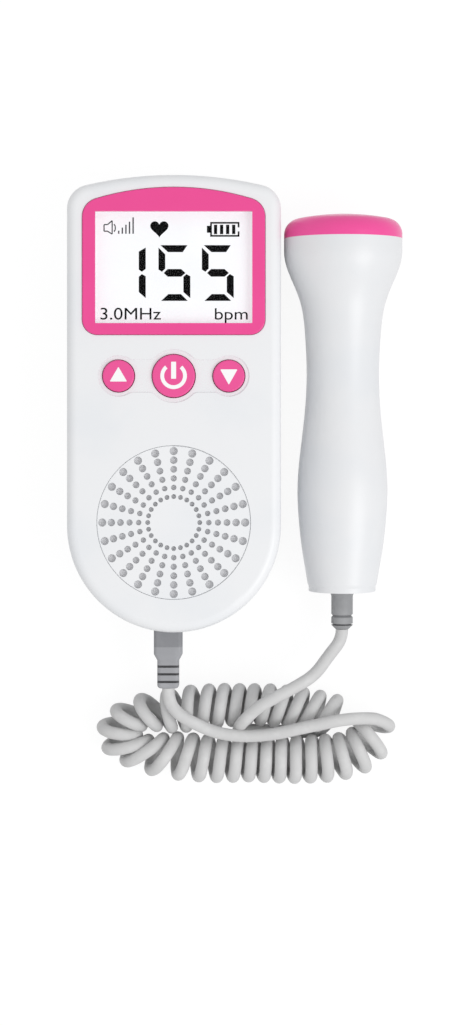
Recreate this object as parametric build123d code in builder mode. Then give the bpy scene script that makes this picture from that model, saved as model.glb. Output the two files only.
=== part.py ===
"""A pocket fetal doppler: a round-ended hand unit, an ultrasound probe and the curly lead between them.

Millimetres, +Z up. The unit lies on its flat back with that back's centre at the origin. Its screen end
points along +Y, its screen looks along +Z, and the probe lies beside it on +X. The lead lies on the table.
"""

import os
from math import atan2, cos, degrees, pi, sin, sqrt, tan, radians

from build123d import *

os.makedirs("parts", exist_ok=True)

# ---------------------------------------------------------------- hand unit, driving dimensions
UNIT_WIDTH = 62.0
UNIT_LENGTH = 132.5
UNIT_THICKNESS = 30.0
ARCH_R = 112.0  # the shallow arch of the screen end
CORNER_R = 7.0  # the two corners beside the arch
FRONT_EDGE_R = 3.0
BACK_EDGE_R = 3.5
WALL = 2.0
PARTING_Z = 17.0  # the joint between the rear and the front cover
LIP_HEIGHT = 1.2  # the front cover's tongue inside the rear cover
LIP_WALL = 0.9

FIT = 0.15  # gap between covers, inserts and keys
FACE_GAP = 0.05  # gap between pieces of one body that only lie against each other

# screen
BEZEL_WIDTH = 52.7
BEZEL_LENGTH = 42.5
BEZEL_TOP_MARGIN = 4.0  # from the unit's top to the bezel's top
BEZEL_ARCH_R = 78.0
BEZEL_TOP_CORNER_R = 5.4
BEZEL_CORNER_R = 4.3
BEZEL_SEAT_DEPTH = 1.0
BEZEL_PROUD = 0.5
BEZEL_EDGE_R = 0.4
WINDOW_WIDTH = 45.3
WINDOW_LENGTH = 32.3
WINDOW_BOTTOM_MARGIN = 3.3  # from the bezel's lower edge to the window
WINDOW_THICKNESS = 1.2
WINDOW_SINK = 0.2
LCD_THICKNESS = 2.4
LCD_BORDER = 1.6  # how far the panel reaches past the window
LCD_CORNER_CUT = 0.6
LCD_FRAME_WALL = 1.0
BACKLIGHT_THICKNESS = 1.8

# keys
KEY_ROW_DROP = 11.9  # from the frame's lower edge to the middle of the keys
KEY_SPACING = 15.9
SIDE_KEY_D = 9.1
POWER_KEY_D = 12.3
KEY_GAP = 0.25
KEY_PROUD = 1.0
KEY_FLANGE = 0.9  # how far the flange reaches past the key, which holds it in
KEY_FLANGE_THICKNESS = 0.8
KEY_STEM_D = 4.0
KEY_EDGE_R = 0.45
PAD_DEPTH = 0.35  # the shallow pad that the three keys stand in
PAD_SIDE_R = 5.95
PAD_POWER_R = 7.75
PAD_NECK = 9.6
PAD_FILLET = 2.5
DOME_HEIGHT = 2.0
DOME_BASE_D = 9.0
DOME_TOP_D = 4.6
DOME_WALL = 0.4
DOME_RIM = 1.0

# speaker
GRILLE_UP = 0.85  # the grille's middle above the middle of the round end
GRILLE_R = 22.2
GRILLE_SKIRT = 0.4
GRILLE_FLANGE = 0.8
GRILLE_FLANGE_THICKNESS = 1.0
GRILLE_PLATE = 1.3
GRILLE_EDGE_R = 0.3
GRILLE_SET = 0.25  # how far the insert's face lies below the cover's
GRILLE_SPOKES = 24
GRILLE_FIRST_RING = 7.5
GRILLE_LAST_RING = 20.6
GRILLE_RINGS = 6
GRILLE_HOLE_FIRST = 1.4
GRILLE_HOLE_LAST = 2.35
CLOTH_THICKNESS = 0.3
GASKET_THICKNESS = 0.8
GASKET_LAP = 1.1  # how far the gasket reaches over the basket
SPEAKER_R = 20.0
SPEAKER_FLANGE_THICKNESS = 0.8
SPEAKER_DEPTH = 4.6
SPEAKER_MAGNET_R = 10.0
SPEAKER_MAGNET_THICKNESS = 2.3
MAGNET_CHAMFER = 0.5
SPEAKER_PLATE = 0.6
BASKET_WALL = 0.6
BASKET_RIM = 2.0
BASKET_FLOOR_EDGE = 1.5  # how far the basket's floor reaches past the magnet
CONE_RIM = 2.0  # width of the flat rim round the cone
CONE_THICKNESS = 0.3
CONE_EDGE_R = 18.8
CONE_NECK_R = 6.0
CONE_NECK_HEIGHT = 1.0  # over the basket's floor
CONE_CAP_RISE = 1.2  # of the dust cap in its middle

# boards, screws and sockets
BOARD_THICKNESS = 1.6
BOARD_MARGIN = 1.2
BOARD_FROM_DOOR = 2.1  # from the battery cover's straight edge to the board
BOSS_D = 6.0
BOSS_TOP_X = 25.4
BOSS_TOP_RISE = 7.0  # from the key row up to the two upper screws
BOSS_LOWER_X = 17.3
BOSS_LOWER_DROP = 18.95  # below the middle of the round end; these two lie under the battery cover
SCREW_D = 2.6
SCREW_HEAD_D = 4.8
SCREW_HEAD_HEIGHT = 1.8
SCREW_SINK = 3.0
SCREW_TIP_Z = 24.0
SCREW_END_ROOM = 0.5
BOARD_SCREW_X = 12.0
BOARD_SCREW_RISE = 3.3  # from the board's lower edge
BOARD_SCREW_D = 2.0
BOARD_SCREW_HEAD_D = 4.0
BOARD_SCREW_HEAD = 1.2
BOARD_SCREW_END_ROOM = 1.0
BOARD_POST_D = 4.6
JACK_FROM_TOP = 36.25
JACK_BORE_D = 3.6
JACK_SLEEVE_D = 5.6
JACK_LENGTH = 13.0
JACK_WIDTH = 6.4
JACK_WALL = 1.0
CHIP_HEIGHT = 1.5
CHIP_CHAMFER = 0.3
CHIPS = [  # place right and up from the middle of the screen, width, length
    (-9.0, 1.0, 12.0, 12.0),
    (10.0, 5.0, 9.0, 6.0),
    (10.0, -7.0, 9.0, 6.0),
    (8.0, -27.0, 10.0, 7.5),
]

# battery bay: two AA cells side by side, lying across the unit
CELL_D = 14.2
CELL_LENGTH = 49.2
CELL_NUB_D = 5.4
CELL_NUB = 1.1
CELL_GAP = 0.4
SPRING_ROOM = 3.2  # what the bay is longer than a cell
BAY_WIDTH = 30.0
BAY_UP = 9.05  # the bay's middle above the middle of the round end
BAY_WALL = 1.2
BAY_TOP_Z = 17.0
CONTACT_THICKNESS = 0.4
CONTACT_SIZE = 9.0
SPRING_BASE_D = 7.0
SPRING_TIP_D = 4.0
DOOR_OVER_BAY = 0.4  # how far the cover's straight edge lies past the bay's wall
DOOR_SKIN = 1.8
DOOR_RIM_Z = 5.1
DOOR_RIM_WALL = 2.0
DECK_THICKNESS = 1.4
DOOR_TRAVEL = 8.0
DOOR_TONGUE_X = 15.0
DOOR_TONGUE_WIDTH = 8.0
DOOR_TONGUE_LENGTH = 1.5
DOOR_TONGUE_GROOVE = 1.0  # height of the groove that the tongue slides into
HOOK_X = 10.0
HOOK_DROP = 12.15  # below the middle of the round end
HOOK_WIDTH = 5.0
HOOK_POST = 1.8
HOOK_TOE = 1.6
HOOK_THICKNESS = 1.0
GRIP_RIDGES = 5
GRIP_PITCH = 2.4
GRIP_FROM_EDGE = 4.5
GRIP_WIDTH = 14.0
GRIP_GROOVE = 1.0
GRIP_DEPTH = 0.4

# plug of the probe lead
PLUG_X = -2.0
PLUG_WIDTH = 8.4
PLUG_HEIGHT = 5.6
PLUG_CORNER_R = 1.2
PLUG_REACH = 4.8  # how far the dark part stands out of the round end
TONGUE_WIDTH = 7.0
TONGUE_HEIGHT = 4.0
TONGUE_LENGTH = 9.25  # inside the unit
SOCKET_WIDTH = 12.0
SOCKET_HEIGHT = 8.0
SOCKET_LENGTH = 9.6
BOOT_SHOULDER = 2.1
BOOT_TAPER = 1.8
BOOT_LENGTH = 8.3
BOOT_NECK_WIDTH = 6.4
BOOT_NECK_HEIGHT = 5.0
BOOT_SLOTS = 3
BOOT_SLOT_PITCH = 2.25
BOOT_SLOT_WIDTH = 0.7
BOOT_SLOT_DEPTH = 1.3
BOOT_SLOT_START = 1.8
BOOT_END_R = 1.1

# ---------------------------------------------------------------- probe, driving dimensions
PROBE_GAP = 1.1  # between the unit and the probe's head, as they lie
PROBE_HEAD_Y = 56.1
HEAD_R = 17.4
PROBE_LENGTH = 111.0
FLANK_SHARES = [  # distance from the head's face as a share of the length, radius as a share of the head's
    (0.094, 1.0),
    (0.150, 0.928),
    (0.225, 0.735),
    (0.325, 0.638),
    (0.440, 0.614),
    (0.600, 0.698),
    (0.745, 0.765),
    (0.880, 0.695),
    (1.000, 0.570),
]
WAIST = 4  # which of them is the waist
BELLY = 6  # and which the belly, on which the probe lies
TAIL_SLOPE = 0.16  # how fast the handle narrows at the tail
TAIL_EDGE_R = 3.0
CAP_DOME_R = 70.0
CAP_EDGE_R = 4.6
CAP_DEPTH = 7.1
CAP_FACE = 3.0  # the cap's thickness in front of the crystals
CAP_WALL = 1.8
CAP_SPIGOT = 3.0
PROBE_WALL = 2.0
TABLE_GAP = 0.1
CRYSTAL_MARGIN = 1.2  # from the crystals to the backing's edge
CRYSTAL_GAP = 1.0
CRYSTAL_THICKNESS = 0.8
BACKING_THICKNESS = 5.0
PROBE_BOARD_START = 0.36  # both as shares of the probe's length
PROBE_BOARD_LENGTH = 0.34
PROBE_BOARD_GAP = 0.35
TAIL_BORE_R = 3.5
PROBE_BOOT_R = 3.2
PROBE_BOOT_LENGTH = 11.35
PROBE_BOOT_FLARE_R = 3.75
PROBE_BOOT_END_R = 2.05
PROBE_BOOT_FLARE = 1.5
PROBE_BOOT_NOTCH = 7.4  # from the probe's end to the middle of the notch
PROBE_BOOT_NOTCH_DEPTH = 0.5
PROBE_BOOT_GROOVE = 9.7
PROBE_BOOT_GROOVE_WIDTH = 0.5
PROBE_BOOT_FLANGE_R = 5.2
PROBE_BOOT_FLANGE = 1.6
CLAMP_R = 4.2
CLAMP_LENGTH = 4.0

# ---------------------------------------------------------------- lead
WIRE_D = 3.7
COIL_D = 13.7
COIL_Z = COIL_D / 2 + 0.05
UNIT_LEAD_RUN = 3.8  # the straight run behind the plug's boot
PROBE_LEAD_RUN = 3.2  # and behind the probe's

# hand-chosen route of the curly part, seen from above: back strand, turn at the left, front strand
COIL_ROUTE = [
    (53.0, -93.0),
    (48.6, -90.9),
    (40.0, -89.5),
    (24.0, -88.7),
    (10.6, -88.9),
    (-0.7, -89.6),
    (-16.4, -89.8),
    (-16.4, -106.4),
    (10.6, -106.5),
    (27.9, -106.9),
    (44.4, -106.1),
    (54.4, -106.0),
]
# hand-chosen route of the straight stretch at the unit, to the front strand; its first two points, at
# the plug's boot, are worked out from the plug
LEAD_UNIT_ROUTE = [
    (1.0, -91.0, 17.8),
    (5.9, -93.8, 17.0),
    (11.8, -97.3, 15.8),
    (19.1, -99.3, 15.0),
    (28.2, -98.0, 11.6),
    (36.9, -96.1, 13.6),
    (45.0, -93.8, 16.4),
    (53.2, -92.1, 16.8),
    (60.0, -92.4, 16.6),
    (64.2, -95.0, 15.4),
    (64.2, -99.7, 13.6),
    (62.0, -104.2, 12.2),
    (58.2, -106.0, 11.8),
    (54.45, -106.0, 11.8),
]
# hand-chosen route of the straight stretch at the probe, from the back strand's end; the last two
# points, at the probe's boot, are worked out from the probe's axis
LEAD_PROBE_ROUTE = [
    (52.9, -91.9, 1.95),
    (53.4, -96.4, 1.9),
    (49.6, -98.9, 1.9),
    (41.8, -98.3, 1.95),
    (31.6, -97.8, 1.95),
    (24.2, -97.8, 2.0),
    (18.3, -98.2, 4.0),
    (16.4, -97.6, 9.0),
    (18.1, -94.9, 14.0),
    (23.0, -91.1, 18.2),
    (29.2, -85.9, 18.6),
    (35.4, -82.2, 16.4),
    (41.0, -78.9, 13.8),
    (45.7, -73.8, 12.0),
]


# ---------------------------------------------------------------- values worked out from them
HALF_WIDTH = UNIT_WIDTH / 2
TOP_Y = UNIT_LENGTH / 2
ROUND_Y = HALF_WIDTH - TOP_Y  # middle of the half-round end
LOW_Y = -TOP_Y
FRONT_Z = UNIT_THICKNESS
FRONT_INNER_Z = FRONT_Z - WALL

BEZEL_TOP_Y = TOP_Y - BEZEL_TOP_MARGIN
BEZEL_LOW_Y = BEZEL_TOP_Y - BEZEL_LENGTH
BEZEL_SEAT_Z = FRONT_Z - BEZEL_SEAT_DEPTH
BEZEL_FACE_Z = FRONT_Z + BEZEL_PROUD
WINDOW_Y = BEZEL_LOW_Y + WINDOW_BOTTOM_MARGIN + WINDOW_LENGTH / 2
KEY_Y = BEZEL_LOW_Y - KEY_ROW_DROP
LCD_WIDTH = WINDOW_WIDTH + 2 * LCD_BORDER
LCD_LENGTH = WINDOW_LENGTH + 2 * LCD_BORDER
WINDOW_LOW_Z = BEZEL_FACE_Z - WINDOW_SINK - WINDOW_THICKNESS
LCD_TOP_Z = FRONT_INNER_Z
LCD_LOW_Z = LCD_TOP_Z - LCD_THICKNESS
BACKLIGHT_LOW_Z = LCD_LOW_Z - BACKLIGHT_THICKNESS
BOARD_TOP_Z = BACKLIGHT_LOW_Z
BOARD_LOW_Z = BOARD_TOP_Z - BOARD_THICKNESS

PAD_Z = FRONT_Z - PAD_DEPTH
KEY_TOP_Z = PAD_Z + KEY_PROUD
KEY_FLANGE_TOP_Z = FRONT_INNER_Z - FIT
KEY_STEM_LOW_Z = BOARD_TOP_Z + DOME_HEIGHT
KEYS = {
    "key_up": (-KEY_SPACING, SIDE_KEY_D),
    "key_power": (0.0, POWER_KEY_D),
    "key_down": (KEY_SPACING, SIDE_KEY_D),
}

GRILLE_Y = ROUND_Y + GRILLE_UP
GRILLE_FACE_Z = FRONT_Z - GRILLE_SET
GRILLE_FLANGE_TOP_Z = FRONT_INNER_Z
GRILLE_FLANGE_LOW_Z = GRILLE_FLANGE_TOP_Z - GRILLE_FLANGE_THICKNESS
GASKET_LOW_Z = GRILLE_FLANGE_LOW_Z - GASKET_THICKNESS
BASKET_LOW_Z = GASKET_LOW_Z - SPEAKER_FLANGE_THICKNESS - SPEAKER_DEPTH

BAY_LENGTH = CELL_LENGTH + SPRING_ROOM
BAY_Y = ROUND_Y + BAY_UP
DOOR_EDGE_Y = BAY_Y + BAY_WIDTH / 2 + BAY_WALL + DOOR_OVER_BAY
HOOK_Y = ROUND_Y - HOOK_DROP
BOARD_LOWER_Y = DOOR_EDGE_Y + BOARD_FROM_DOOR
BOARD_SCREW_Y = BOARD_LOWER_Y + BOARD_SCREW_RISE
BOSS_TOP_Y = KEY_Y + BOSS_TOP_RISE
BOSS_LOWER_Y = ROUND_Y - BOSS_LOWER_DROP
JACK_Y = TOP_Y - JACK_FROM_TOP

DECK_LOW_Z = DOOR_SKIN + FIT
DECK_TOP_Z = DECK_LOW_Z + DECK_THICKNESS
DECK_INSET = DOOR_RIM_WALL + 2 * FIT
DECK_RIM_INSET = DECK_INSET + BAY_WALL
DECK_RIM_TOP_Z = DOOR_RIM_Z + WALL
CELL_Z = DECK_LOW_Z + CELL_D / 2 + FIT
PLUG_END_Y = LOW_Y - PLUG_REACH
TONGUE_END_Y = LOW_Y + TONGUE_LENGTH
BOOT_SHOULDER_Y = PLUG_END_Y - BOOT_SHOULDER
BOOT_NECK_Y = BOOT_SHOULDER_Y - BOOT_TAPER
BOOT_END_Y = BOOT_NECK_Y - BOOT_LENGTH
SOCKET_REACH = abs(PLUG_X) + SOCKET_WIDTH / 2
SOCKET_Y = ROUND_Y - sqrt((HALF_WIDTH - WALL) ** 2 - SOCKET_REACH**2) + FIT  # just inside the round wall

PROBE_X = HALF_WIDTH + PROBE_GAP + HEAD_R
PROBE_FLANK = [(PROBE_LENGTH * length, HEAD_R * radius) for length, radius in FLANK_SHARES]
HEAD_STRAIGHT = PROBE_FLANK[0][0]
WAIST_R = PROBE_FLANK[WAIST][1]
BELLY_S, BELLY_R = PROBE_FLANK[BELLY]
TAIL_R = PROBE_FLANK[-1][1]
BACKING_R = HEAD_R - PROBE_WALL - CAP_WALL
PROBE_TILT = atan2(HEAD_R - BELLY_R, BELLY_S - HEAD_STRAIGHT)
PROBE_HEAD_Z = TABLE_GAP + HEAD_R * cos(PROBE_TILT) + HEAD_STRAIGHT * sin(PROBE_TILT)
PROBE_DIR = Vector(0, -cos(PROBE_TILT), -sin(PROBE_TILT))  # from the head towards the tail
PROBE_ORIGIN = Vector(PROBE_X, PROBE_HEAD_Y, PROBE_HEAD_Z)
PROBE_PLANE = Plane(origin=PROBE_ORIGIN, x_dir=PROBE_DIR, z_dir=(-1, 0, 0))
PROBE_AXIS = Axis(PROBE_ORIGIN, PROBE_DIR)
PROBE_SPLIT = Plane(origin=PROBE_ORIGIN, x_dir=PROBE_DIR, z_dir=PROBE_PLANE.y_dir)


def unit_outline(inset=0.0):
    """The unit's outline seen from the front, drawn in by inset all round."""
    arch_centre_y = TOP_Y - ARCH_R
    shoulder_y = arch_centre_y + sqrt(ARCH_R**2 - HALF_WIDTH**2)
    with BuildSketch() as outline:
        with BuildLine():
            ThreePointArc((-HALF_WIDTH, ROUND_Y), (0, ROUND_Y - HALF_WIDTH), (HALF_WIDTH, ROUND_Y))
            Line((HALF_WIDTH, ROUND_Y), (HALF_WIDTH, shoulder_y))
            ThreePointArc((HALF_WIDTH, shoulder_y), (0, TOP_Y), (-HALF_WIDTH, shoulder_y))
            Line((-HALF_WIDTH, shoulder_y), (-HALF_WIDTH, ROUND_Y))
        make_face()
        fillet(outline.vertices().group_by(Axis.Y)[-1], CORNER_R)
        if inset:
            offset(amount=-inset)
    return outline.sketch


def unit_slab(inset, low_z, high_z):
    """A slab of the unit's outline between two heights."""
    return extrude(Pos(0, 0, low_z) * unit_outline(inset), amount=high_z - low_z, mode=Mode.PRIVATE)


def lower_half(solid, edge_y):
    """What of a solid lies on the lead's side of edge_y."""
    return split(solid, bisect_by=Plane.XZ.offset(-edge_y), keep=Keep.TOP, mode=Mode.PRIVATE)


def upper_half(solid, edge_y):
    """What of a solid lies on the screen's side of edge_y."""
    return split(solid, bisect_by=Plane.XZ.offset(-edge_y), keep=Keep.BOTTOM, mode=Mode.PRIVATE)


def bezel_outline(gap=0.0):
    """The pink frame's outline, larger by gap all round."""
    half = BEZEL_WIDTH / 2
    arch_centre_y = BEZEL_TOP_Y - BEZEL_ARCH_R
    shoulder_y = arch_centre_y + sqrt(BEZEL_ARCH_R**2 - half**2)
    with BuildSketch() as outline:
        with BuildLine():
            Polyline((-half, shoulder_y), (-half, BEZEL_LOW_Y), (half, BEZEL_LOW_Y), (half, shoulder_y))
            ThreePointArc((half, shoulder_y), (0, BEZEL_TOP_Y), (-half, shoulder_y))
        make_face()
        fillet(outline.vertices().group_by(Axis.Y)[-1], BEZEL_TOP_CORNER_R)
        fillet(outline.vertices().group_by(Axis.Y)[0], BEZEL_CORNER_R)
        if gap:
            offset(amount=gap)
    return outline.sketch


def pad_outline():
    """The shallow pad round the keys: three discs that run into each other."""
    with BuildSketch() as pad:
        with Locations((0, KEY_Y)):
            Rectangle(2 * KEY_SPACING, PAD_NECK)
            Circle(PAD_POWER_R)
        with Locations((-KEY_SPACING, KEY_Y), (KEY_SPACING, KEY_Y)):
            Circle(PAD_SIDE_R)
        inner_corners = pad.vertices().filter_by(lambda corner: abs(corner.X) < KEY_SPACING)
        fillet(inner_corners, PAD_FILLET)
    return pad.sketch


def save(part, name):
    """Name a finished piece and write its STEP file."""
    part.label = name
    export_step(part, f"parts/{name}.step")


def route_wire(points):
    """Straight runs joined by arcs, each as large as its two runs allow; prints the radii."""
    corners = [Vector(*point) for point in points]
    radii = []
    for before, corner, after in zip(corners, corners[1:], corners[2:]):
        run_in = corner - before
        run_out = after - corner
        half_turn = radians(run_in.get_angle(run_out)) / 2
        radii.append(0.45 * min(run_in.length, run_out.length) / tan(half_turn))
    print("arc radii", [round(radius, 1) for radius in radii])
    with BuildLine() as route:
        FilletPolyline(*corners, radius=radii)
    return route.wires()[0]


def tube(points, diameter, name):
    """A plain round tube along a route, written as a piece of its own."""
    wire = route_wire(points)
    with BuildPart() as piece:
        with BuildSketch(Plane(origin=wire @ 0, z_dir=wire % 0)):
            Circle(diameter / 2)
        sweep(path=wire)
    print(name, "length", round(wire.length, 1), "volume ratio",
          round(piece.part.volume / (pi * diameter**2 / 4 * wire.length), 4))
    save(piece.part, name)


# ---------------------------------------------------------------- front cover
boss_places = [
    (-BOSS_TOP_X, BOSS_TOP_Y),
    (BOSS_TOP_X, BOSS_TOP_Y),
    (-BOSS_LOWER_X, BOSS_LOWER_Y),
    (BOSS_LOWER_X, BOSS_LOWER_Y),
]
post_places = [(-BOARD_SCREW_X, BOARD_SCREW_Y), (BOARD_SCREW_X, BOARD_SCREW_Y)]

with BuildPart() as front_cover:
    extrude(Pos(0, 0, PARTING_Z) * unit_outline(), amount=FRONT_Z - PARTING_Z)
    fillet(front_cover.faces().sort_by(Axis.Z)[-1].edges(), FRONT_EDGE_R)
    extrude(Pos(0, 0, PARTING_Z) * unit_outline(WALL), amount=FRONT_INNER_Z - PARTING_Z, mode=Mode.SUBTRACT)
    # tongue that locates the rear cover
    tongue_outline = unit_outline(WALL - LIP_WALL) - unit_outline(WALL)
    extrude(Pos(0, 0, PARTING_Z - LIP_HEIGHT) * tongue_outline, amount=LIP_HEIGHT)
    # seat of the pink frame and the opening behind it
    extrude(Pos(0, 0, BEZEL_SEAT_Z) * bezel_outline(FIT), amount=BEZEL_SEAT_DEPTH, mode=Mode.SUBTRACT)
    with BuildSketch(Plane.XY.offset(FRONT_INNER_Z)):
        with Locations((0, WINDOW_Y)):
            Rectangle(WINDOW_WIDTH + 2 * FIT, WINDOW_LENGTH + 2 * FIT)
    extrude(amount=WALL, mode=Mode.SUBTRACT)
    # pad and key holes
    extrude(Pos(0, 0, PAD_Z) * pad_outline(), amount=PAD_DEPTH, mode=Mode.SUBTRACT)
    for key_x, key_d in KEYS.values():
        with Locations((key_x, KEY_Y, FRONT_INNER_Z)):
            Cylinder(key_d / 2 + KEY_GAP, WALL, align=(Align.CENTER, Align.CENTER, Align.MIN),
                     mode=Mode.SUBTRACT)
    # round hole of the speaker grille
    with Locations((0, GRILLE_Y, FRONT_INNER_Z)):
        Cylinder(GRILLE_R + FACE_GAP, WALL, align=(Align.CENTER, Align.CENTER, Align.MIN), mode=Mode.SUBTRACT)
    # screw bosses, from the front wall down to the rear cover's
    with BuildSketch(Plane.XY.offset(PARTING_Z)):
        with Locations(*boss_places):
            Circle(BOSS_D / 2)
    extrude(amount=FRONT_INNER_Z - PARTING_Z)
    with BuildSketch(Plane.XY.offset(PARTING_Z)):
        with Locations(*boss_places):
            Circle(SCREW_D / 2)
    extrude(amount=SCREW_TIP_Z + SCREW_END_ROOM - PARTING_Z, mode=Mode.SUBTRACT)
    # posts that carry the circuit board
    with BuildSketch(Plane.XY.offset(BOARD_TOP_Z)):
        with Locations(*post_places):
            Circle(BOARD_POST_D / 2)
            Circle(BOARD_SCREW_D / 2, mode=Mode.SUBTRACT)
    extrude(amount=FRONT_INNER_Z - BOARD_TOP_Z)
    # mouth of the plug and of the earphone socket, half in each cover
    with Locations((PLUG_X, ROUND_Y - HALF_WIDTH, PARTING_Z)):
        Box(TONGUE_WIDTH + 2 * FIT, 5 * WALL, TONGUE_HEIGHT + 2 * FIT, mode=Mode.SUBTRACT)
    with Locations(Location((-HALF_WIDTH, JACK_Y, PARTING_Z), (0, 90, 0))):
        Cylinder(JACK_SLEEVE_D / 2 + FIT, 3 * WALL, mode=Mode.SUBTRACT)
save(front_cover.part, "front_cover")

# ---------------------------------------------------------------- rear cover
rear_shell = unit_slab(0, 0, PARTING_Z)
rear_shell = fillet(rear_shell.faces().sort_by(Axis.Z)[0].edges(), BACK_EDGE_R)

door_pocket = lower_half(unit_slab(-1, -1, DOOR_RIM_Z), DOOR_EDGE_Y)
door_deck = lower_half(unit_slab(DECK_INSET, DECK_LOW_Z, DOOR_RIM_Z + 1), DOOR_EDGE_Y)
lower_cavity = lower_half(unit_slab(DECK_RIM_INSET, DECK_TOP_Z, DECK_RIM_TOP_Z), DOOR_EDGE_Y)
upper_cavity = upper_half(unit_slab(WALL, WALL, DECK_RIM_TOP_Z), DOOR_EDGE_Y + WALL)

with BuildPart() as rear_cover:
    add(rear_shell)
    add(unit_slab(WALL, DECK_RIM_TOP_Z, PARTING_Z), mode=Mode.SUBTRACT)
    add(upper_cavity, mode=Mode.SUBTRACT)
    add(lower_cavity, mode=Mode.SUBTRACT)
    add(door_pocket - door_deck, mode=Mode.SUBTRACT)
    # rebate that takes the front cover's tongue
    rebate = unit_outline(WALL - LIP_WALL - FIT) - unit_outline(WALL)
    extrude(Pos(0, 0, PARTING_Z - LIP_HEIGHT - FIT) * rebate, amount=LIP_HEIGHT + FIT, mode=Mode.SUBTRACT)
    # battery tub
    with BuildSketch(Plane.XY.offset(DECK_LOW_Z)):
        with Locations((0, BAY_Y)):
            Rectangle(BAY_LENGTH + 2 * BAY_WALL, BAY_WIDTH + 2 * BAY_WALL)
    extrude(amount=BAY_TOP_Z + BAY_WALL - DECK_LOW_Z)
    with BuildSketch(Plane.XY.offset(DECK_LOW_Z)):
        with Locations((0, BAY_Y)):
            Rectangle(BAY_LENGTH, BAY_WIDTH)
    extrude(amount=BAY_TOP_Z - DECK_LOW_Z, mode=Mode.SUBTRACT)
    # screw bosses with their sunk holes
    with BuildSketch(Plane.XY.offset(WALL)):
        with Locations(*boss_places):
            Circle(BOSS_D / 2)
    extrude(amount=PARTING_Z - WALL)
    for boss_x, boss_y in boss_places:
        with Locations((boss_x, boss_y, 0)):
            Cylinder(SCREW_D / 2 + FIT, PARTING_Z, align=(Align.CENTER, Align.CENTER, Align.MIN),
                     mode=Mode.SUBTRACT)
            Cylinder(SCREW_HEAD_D / 2 + FIT, SCREW_SINK + SCREW_HEAD_HEIGHT,
                     align=(Align.CENTER, Align.CENTER, Align.MIN), mode=Mode.SUBTRACT)
    # grooves for the battery cover's tongues and slots for its hooks
    with Locations((-DOOR_TONGUE_X, DOOR_EDGE_Y, DOOR_SKIN - DOOR_TONGUE_GROOVE - FIT / 2),
                   (DOOR_TONGUE_X, DOOR_EDGE_Y, DOOR_SKIN - DOOR_TONGUE_GROOVE - FIT / 2)):
        Box(DOOR_TONGUE_WIDTH + 2 * FIT, DOOR_TONGUE_LENGTH + FIT, DOOR_TONGUE_GROOVE + FIT,
            align=(Align.CENTER, Align.MIN, Align.MIN), mode=Mode.SUBTRACT)
    slot_length = HOOK_POST + HOOK_TOE + DOOR_TRAVEL + 2 * FIT
    with Locations((-HOOK_X, HOOK_Y + HOOK_TOE + FIT, DECK_LOW_Z),
                   (HOOK_X, HOOK_Y + HOOK_TOE + FIT, DECK_LOW_Z)):
        Box(HOOK_WIDTH + 2 * FIT, slot_length, DECK_THICKNESS,
            align=(Align.CENTER, Align.MAX, Align.MIN), mode=Mode.SUBTRACT)
    with Locations((PLUG_X, ROUND_Y - HALF_WIDTH, PARTING_Z)):
        Box(TONGUE_WIDTH + 2 * FIT, 5 * WALL, TONGUE_HEIGHT + 2 * FIT, mode=Mode.SUBTRACT)
    with Locations(Location((-HALF_WIDTH, JACK_Y, PARTING_Z), (0, 90, 0))):
        Cylinder(JACK_SLEEVE_D / 2 + FIT, 3 * WALL, mode=Mode.SUBTRACT)
save(rear_cover.part, "rear_cover")

# ---------------------------------------------------------------- battery cover
door_body = lower_half(rear_shell, DOOR_EDGE_Y - FIT)
door_body = split(door_body, bisect_by=Plane.XY.offset(DOOR_RIM_Z - FIT), keep=Keep.BOTTOM)
door_hollow = lower_half(unit_slab(DOOR_RIM_WALL, DOOR_SKIN, DOOR_RIM_Z), DOOR_EDGE_Y + 1)

with BuildPart() as battery_cover:
    add(door_body)
    add(door_hollow, mode=Mode.SUBTRACT)
    # tongues at the straight edge
    with Locations((-DOOR_TONGUE_X, DOOR_EDGE_Y - FIT, DOOR_SKIN - DOOR_TONGUE_GROOVE),
                   (DOOR_TONGUE_X, DOOR_EDGE_Y - FIT, DOOR_SKIN - DOOR_TONGUE_GROOVE)):
        Box(DOOR_TONGUE_WIDTH, DOOR_TONGUE_LENGTH + FIT - 2 * FACE_GAP, DOOR_TONGUE_GROOVE - 2 * FACE_GAP,
            align=(Align.CENTER, Align.MIN, Align.MIN))
    # hooks that reach through the deck
    hook_top = DECK_TOP_Z + FIT
    for hook_x in (-HOOK_X, HOOK_X):
        with Locations((hook_x, HOOK_Y, DOOR_SKIN)):
            Box(HOOK_WIDTH, HOOK_POST, hook_top + HOOK_THICKNESS - DOOR_SKIN,
                align=(Align.CENTER, Align.MAX, Align.MIN))
        with Locations((hook_x, HOOK_Y - HOOK_POST, hook_top)):
            Box(HOOK_WIDTH, HOOK_POST + HOOK_TOE, HOOK_THICKNESS,
                align=(Align.CENTER, Align.MIN, Align.MIN))
    # thumb grip: fine grooves across the outer face
    with Locations(*[(0, DOOR_EDGE_Y - GRIP_FROM_EDGE - GRIP_PITCH * ridge, 0)
                     for ridge in range(GRIP_RIDGES)]):
        Box(GRIP_WIDTH, GRIP_GROOVE, 2 * GRIP_DEPTH, mode=Mode.SUBTRACT)
save(battery_cover.part, "battery_cover")

# ---------------------------------------------------------------- screen
with BuildPart() as screen_bezel:
    extrude(Pos(0, 0, BEZEL_SEAT_Z) * bezel_outline(), amount=BEZEL_FACE_Z - BEZEL_SEAT_Z)
    fillet(screen_bezel.faces().sort_by(Axis.Z)[-1].edges(), BEZEL_EDGE_R)
    with BuildSketch(Plane.XY.offset(BEZEL_SEAT_Z)):
        with Locations((0, WINDOW_Y)):
            Rectangle(WINDOW_WIDTH, WINDOW_LENGTH)
    extrude(amount=BEZEL_FACE_Z, mode=Mode.SUBTRACT)
save(screen_bezel.part, "screen_bezel")

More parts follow.
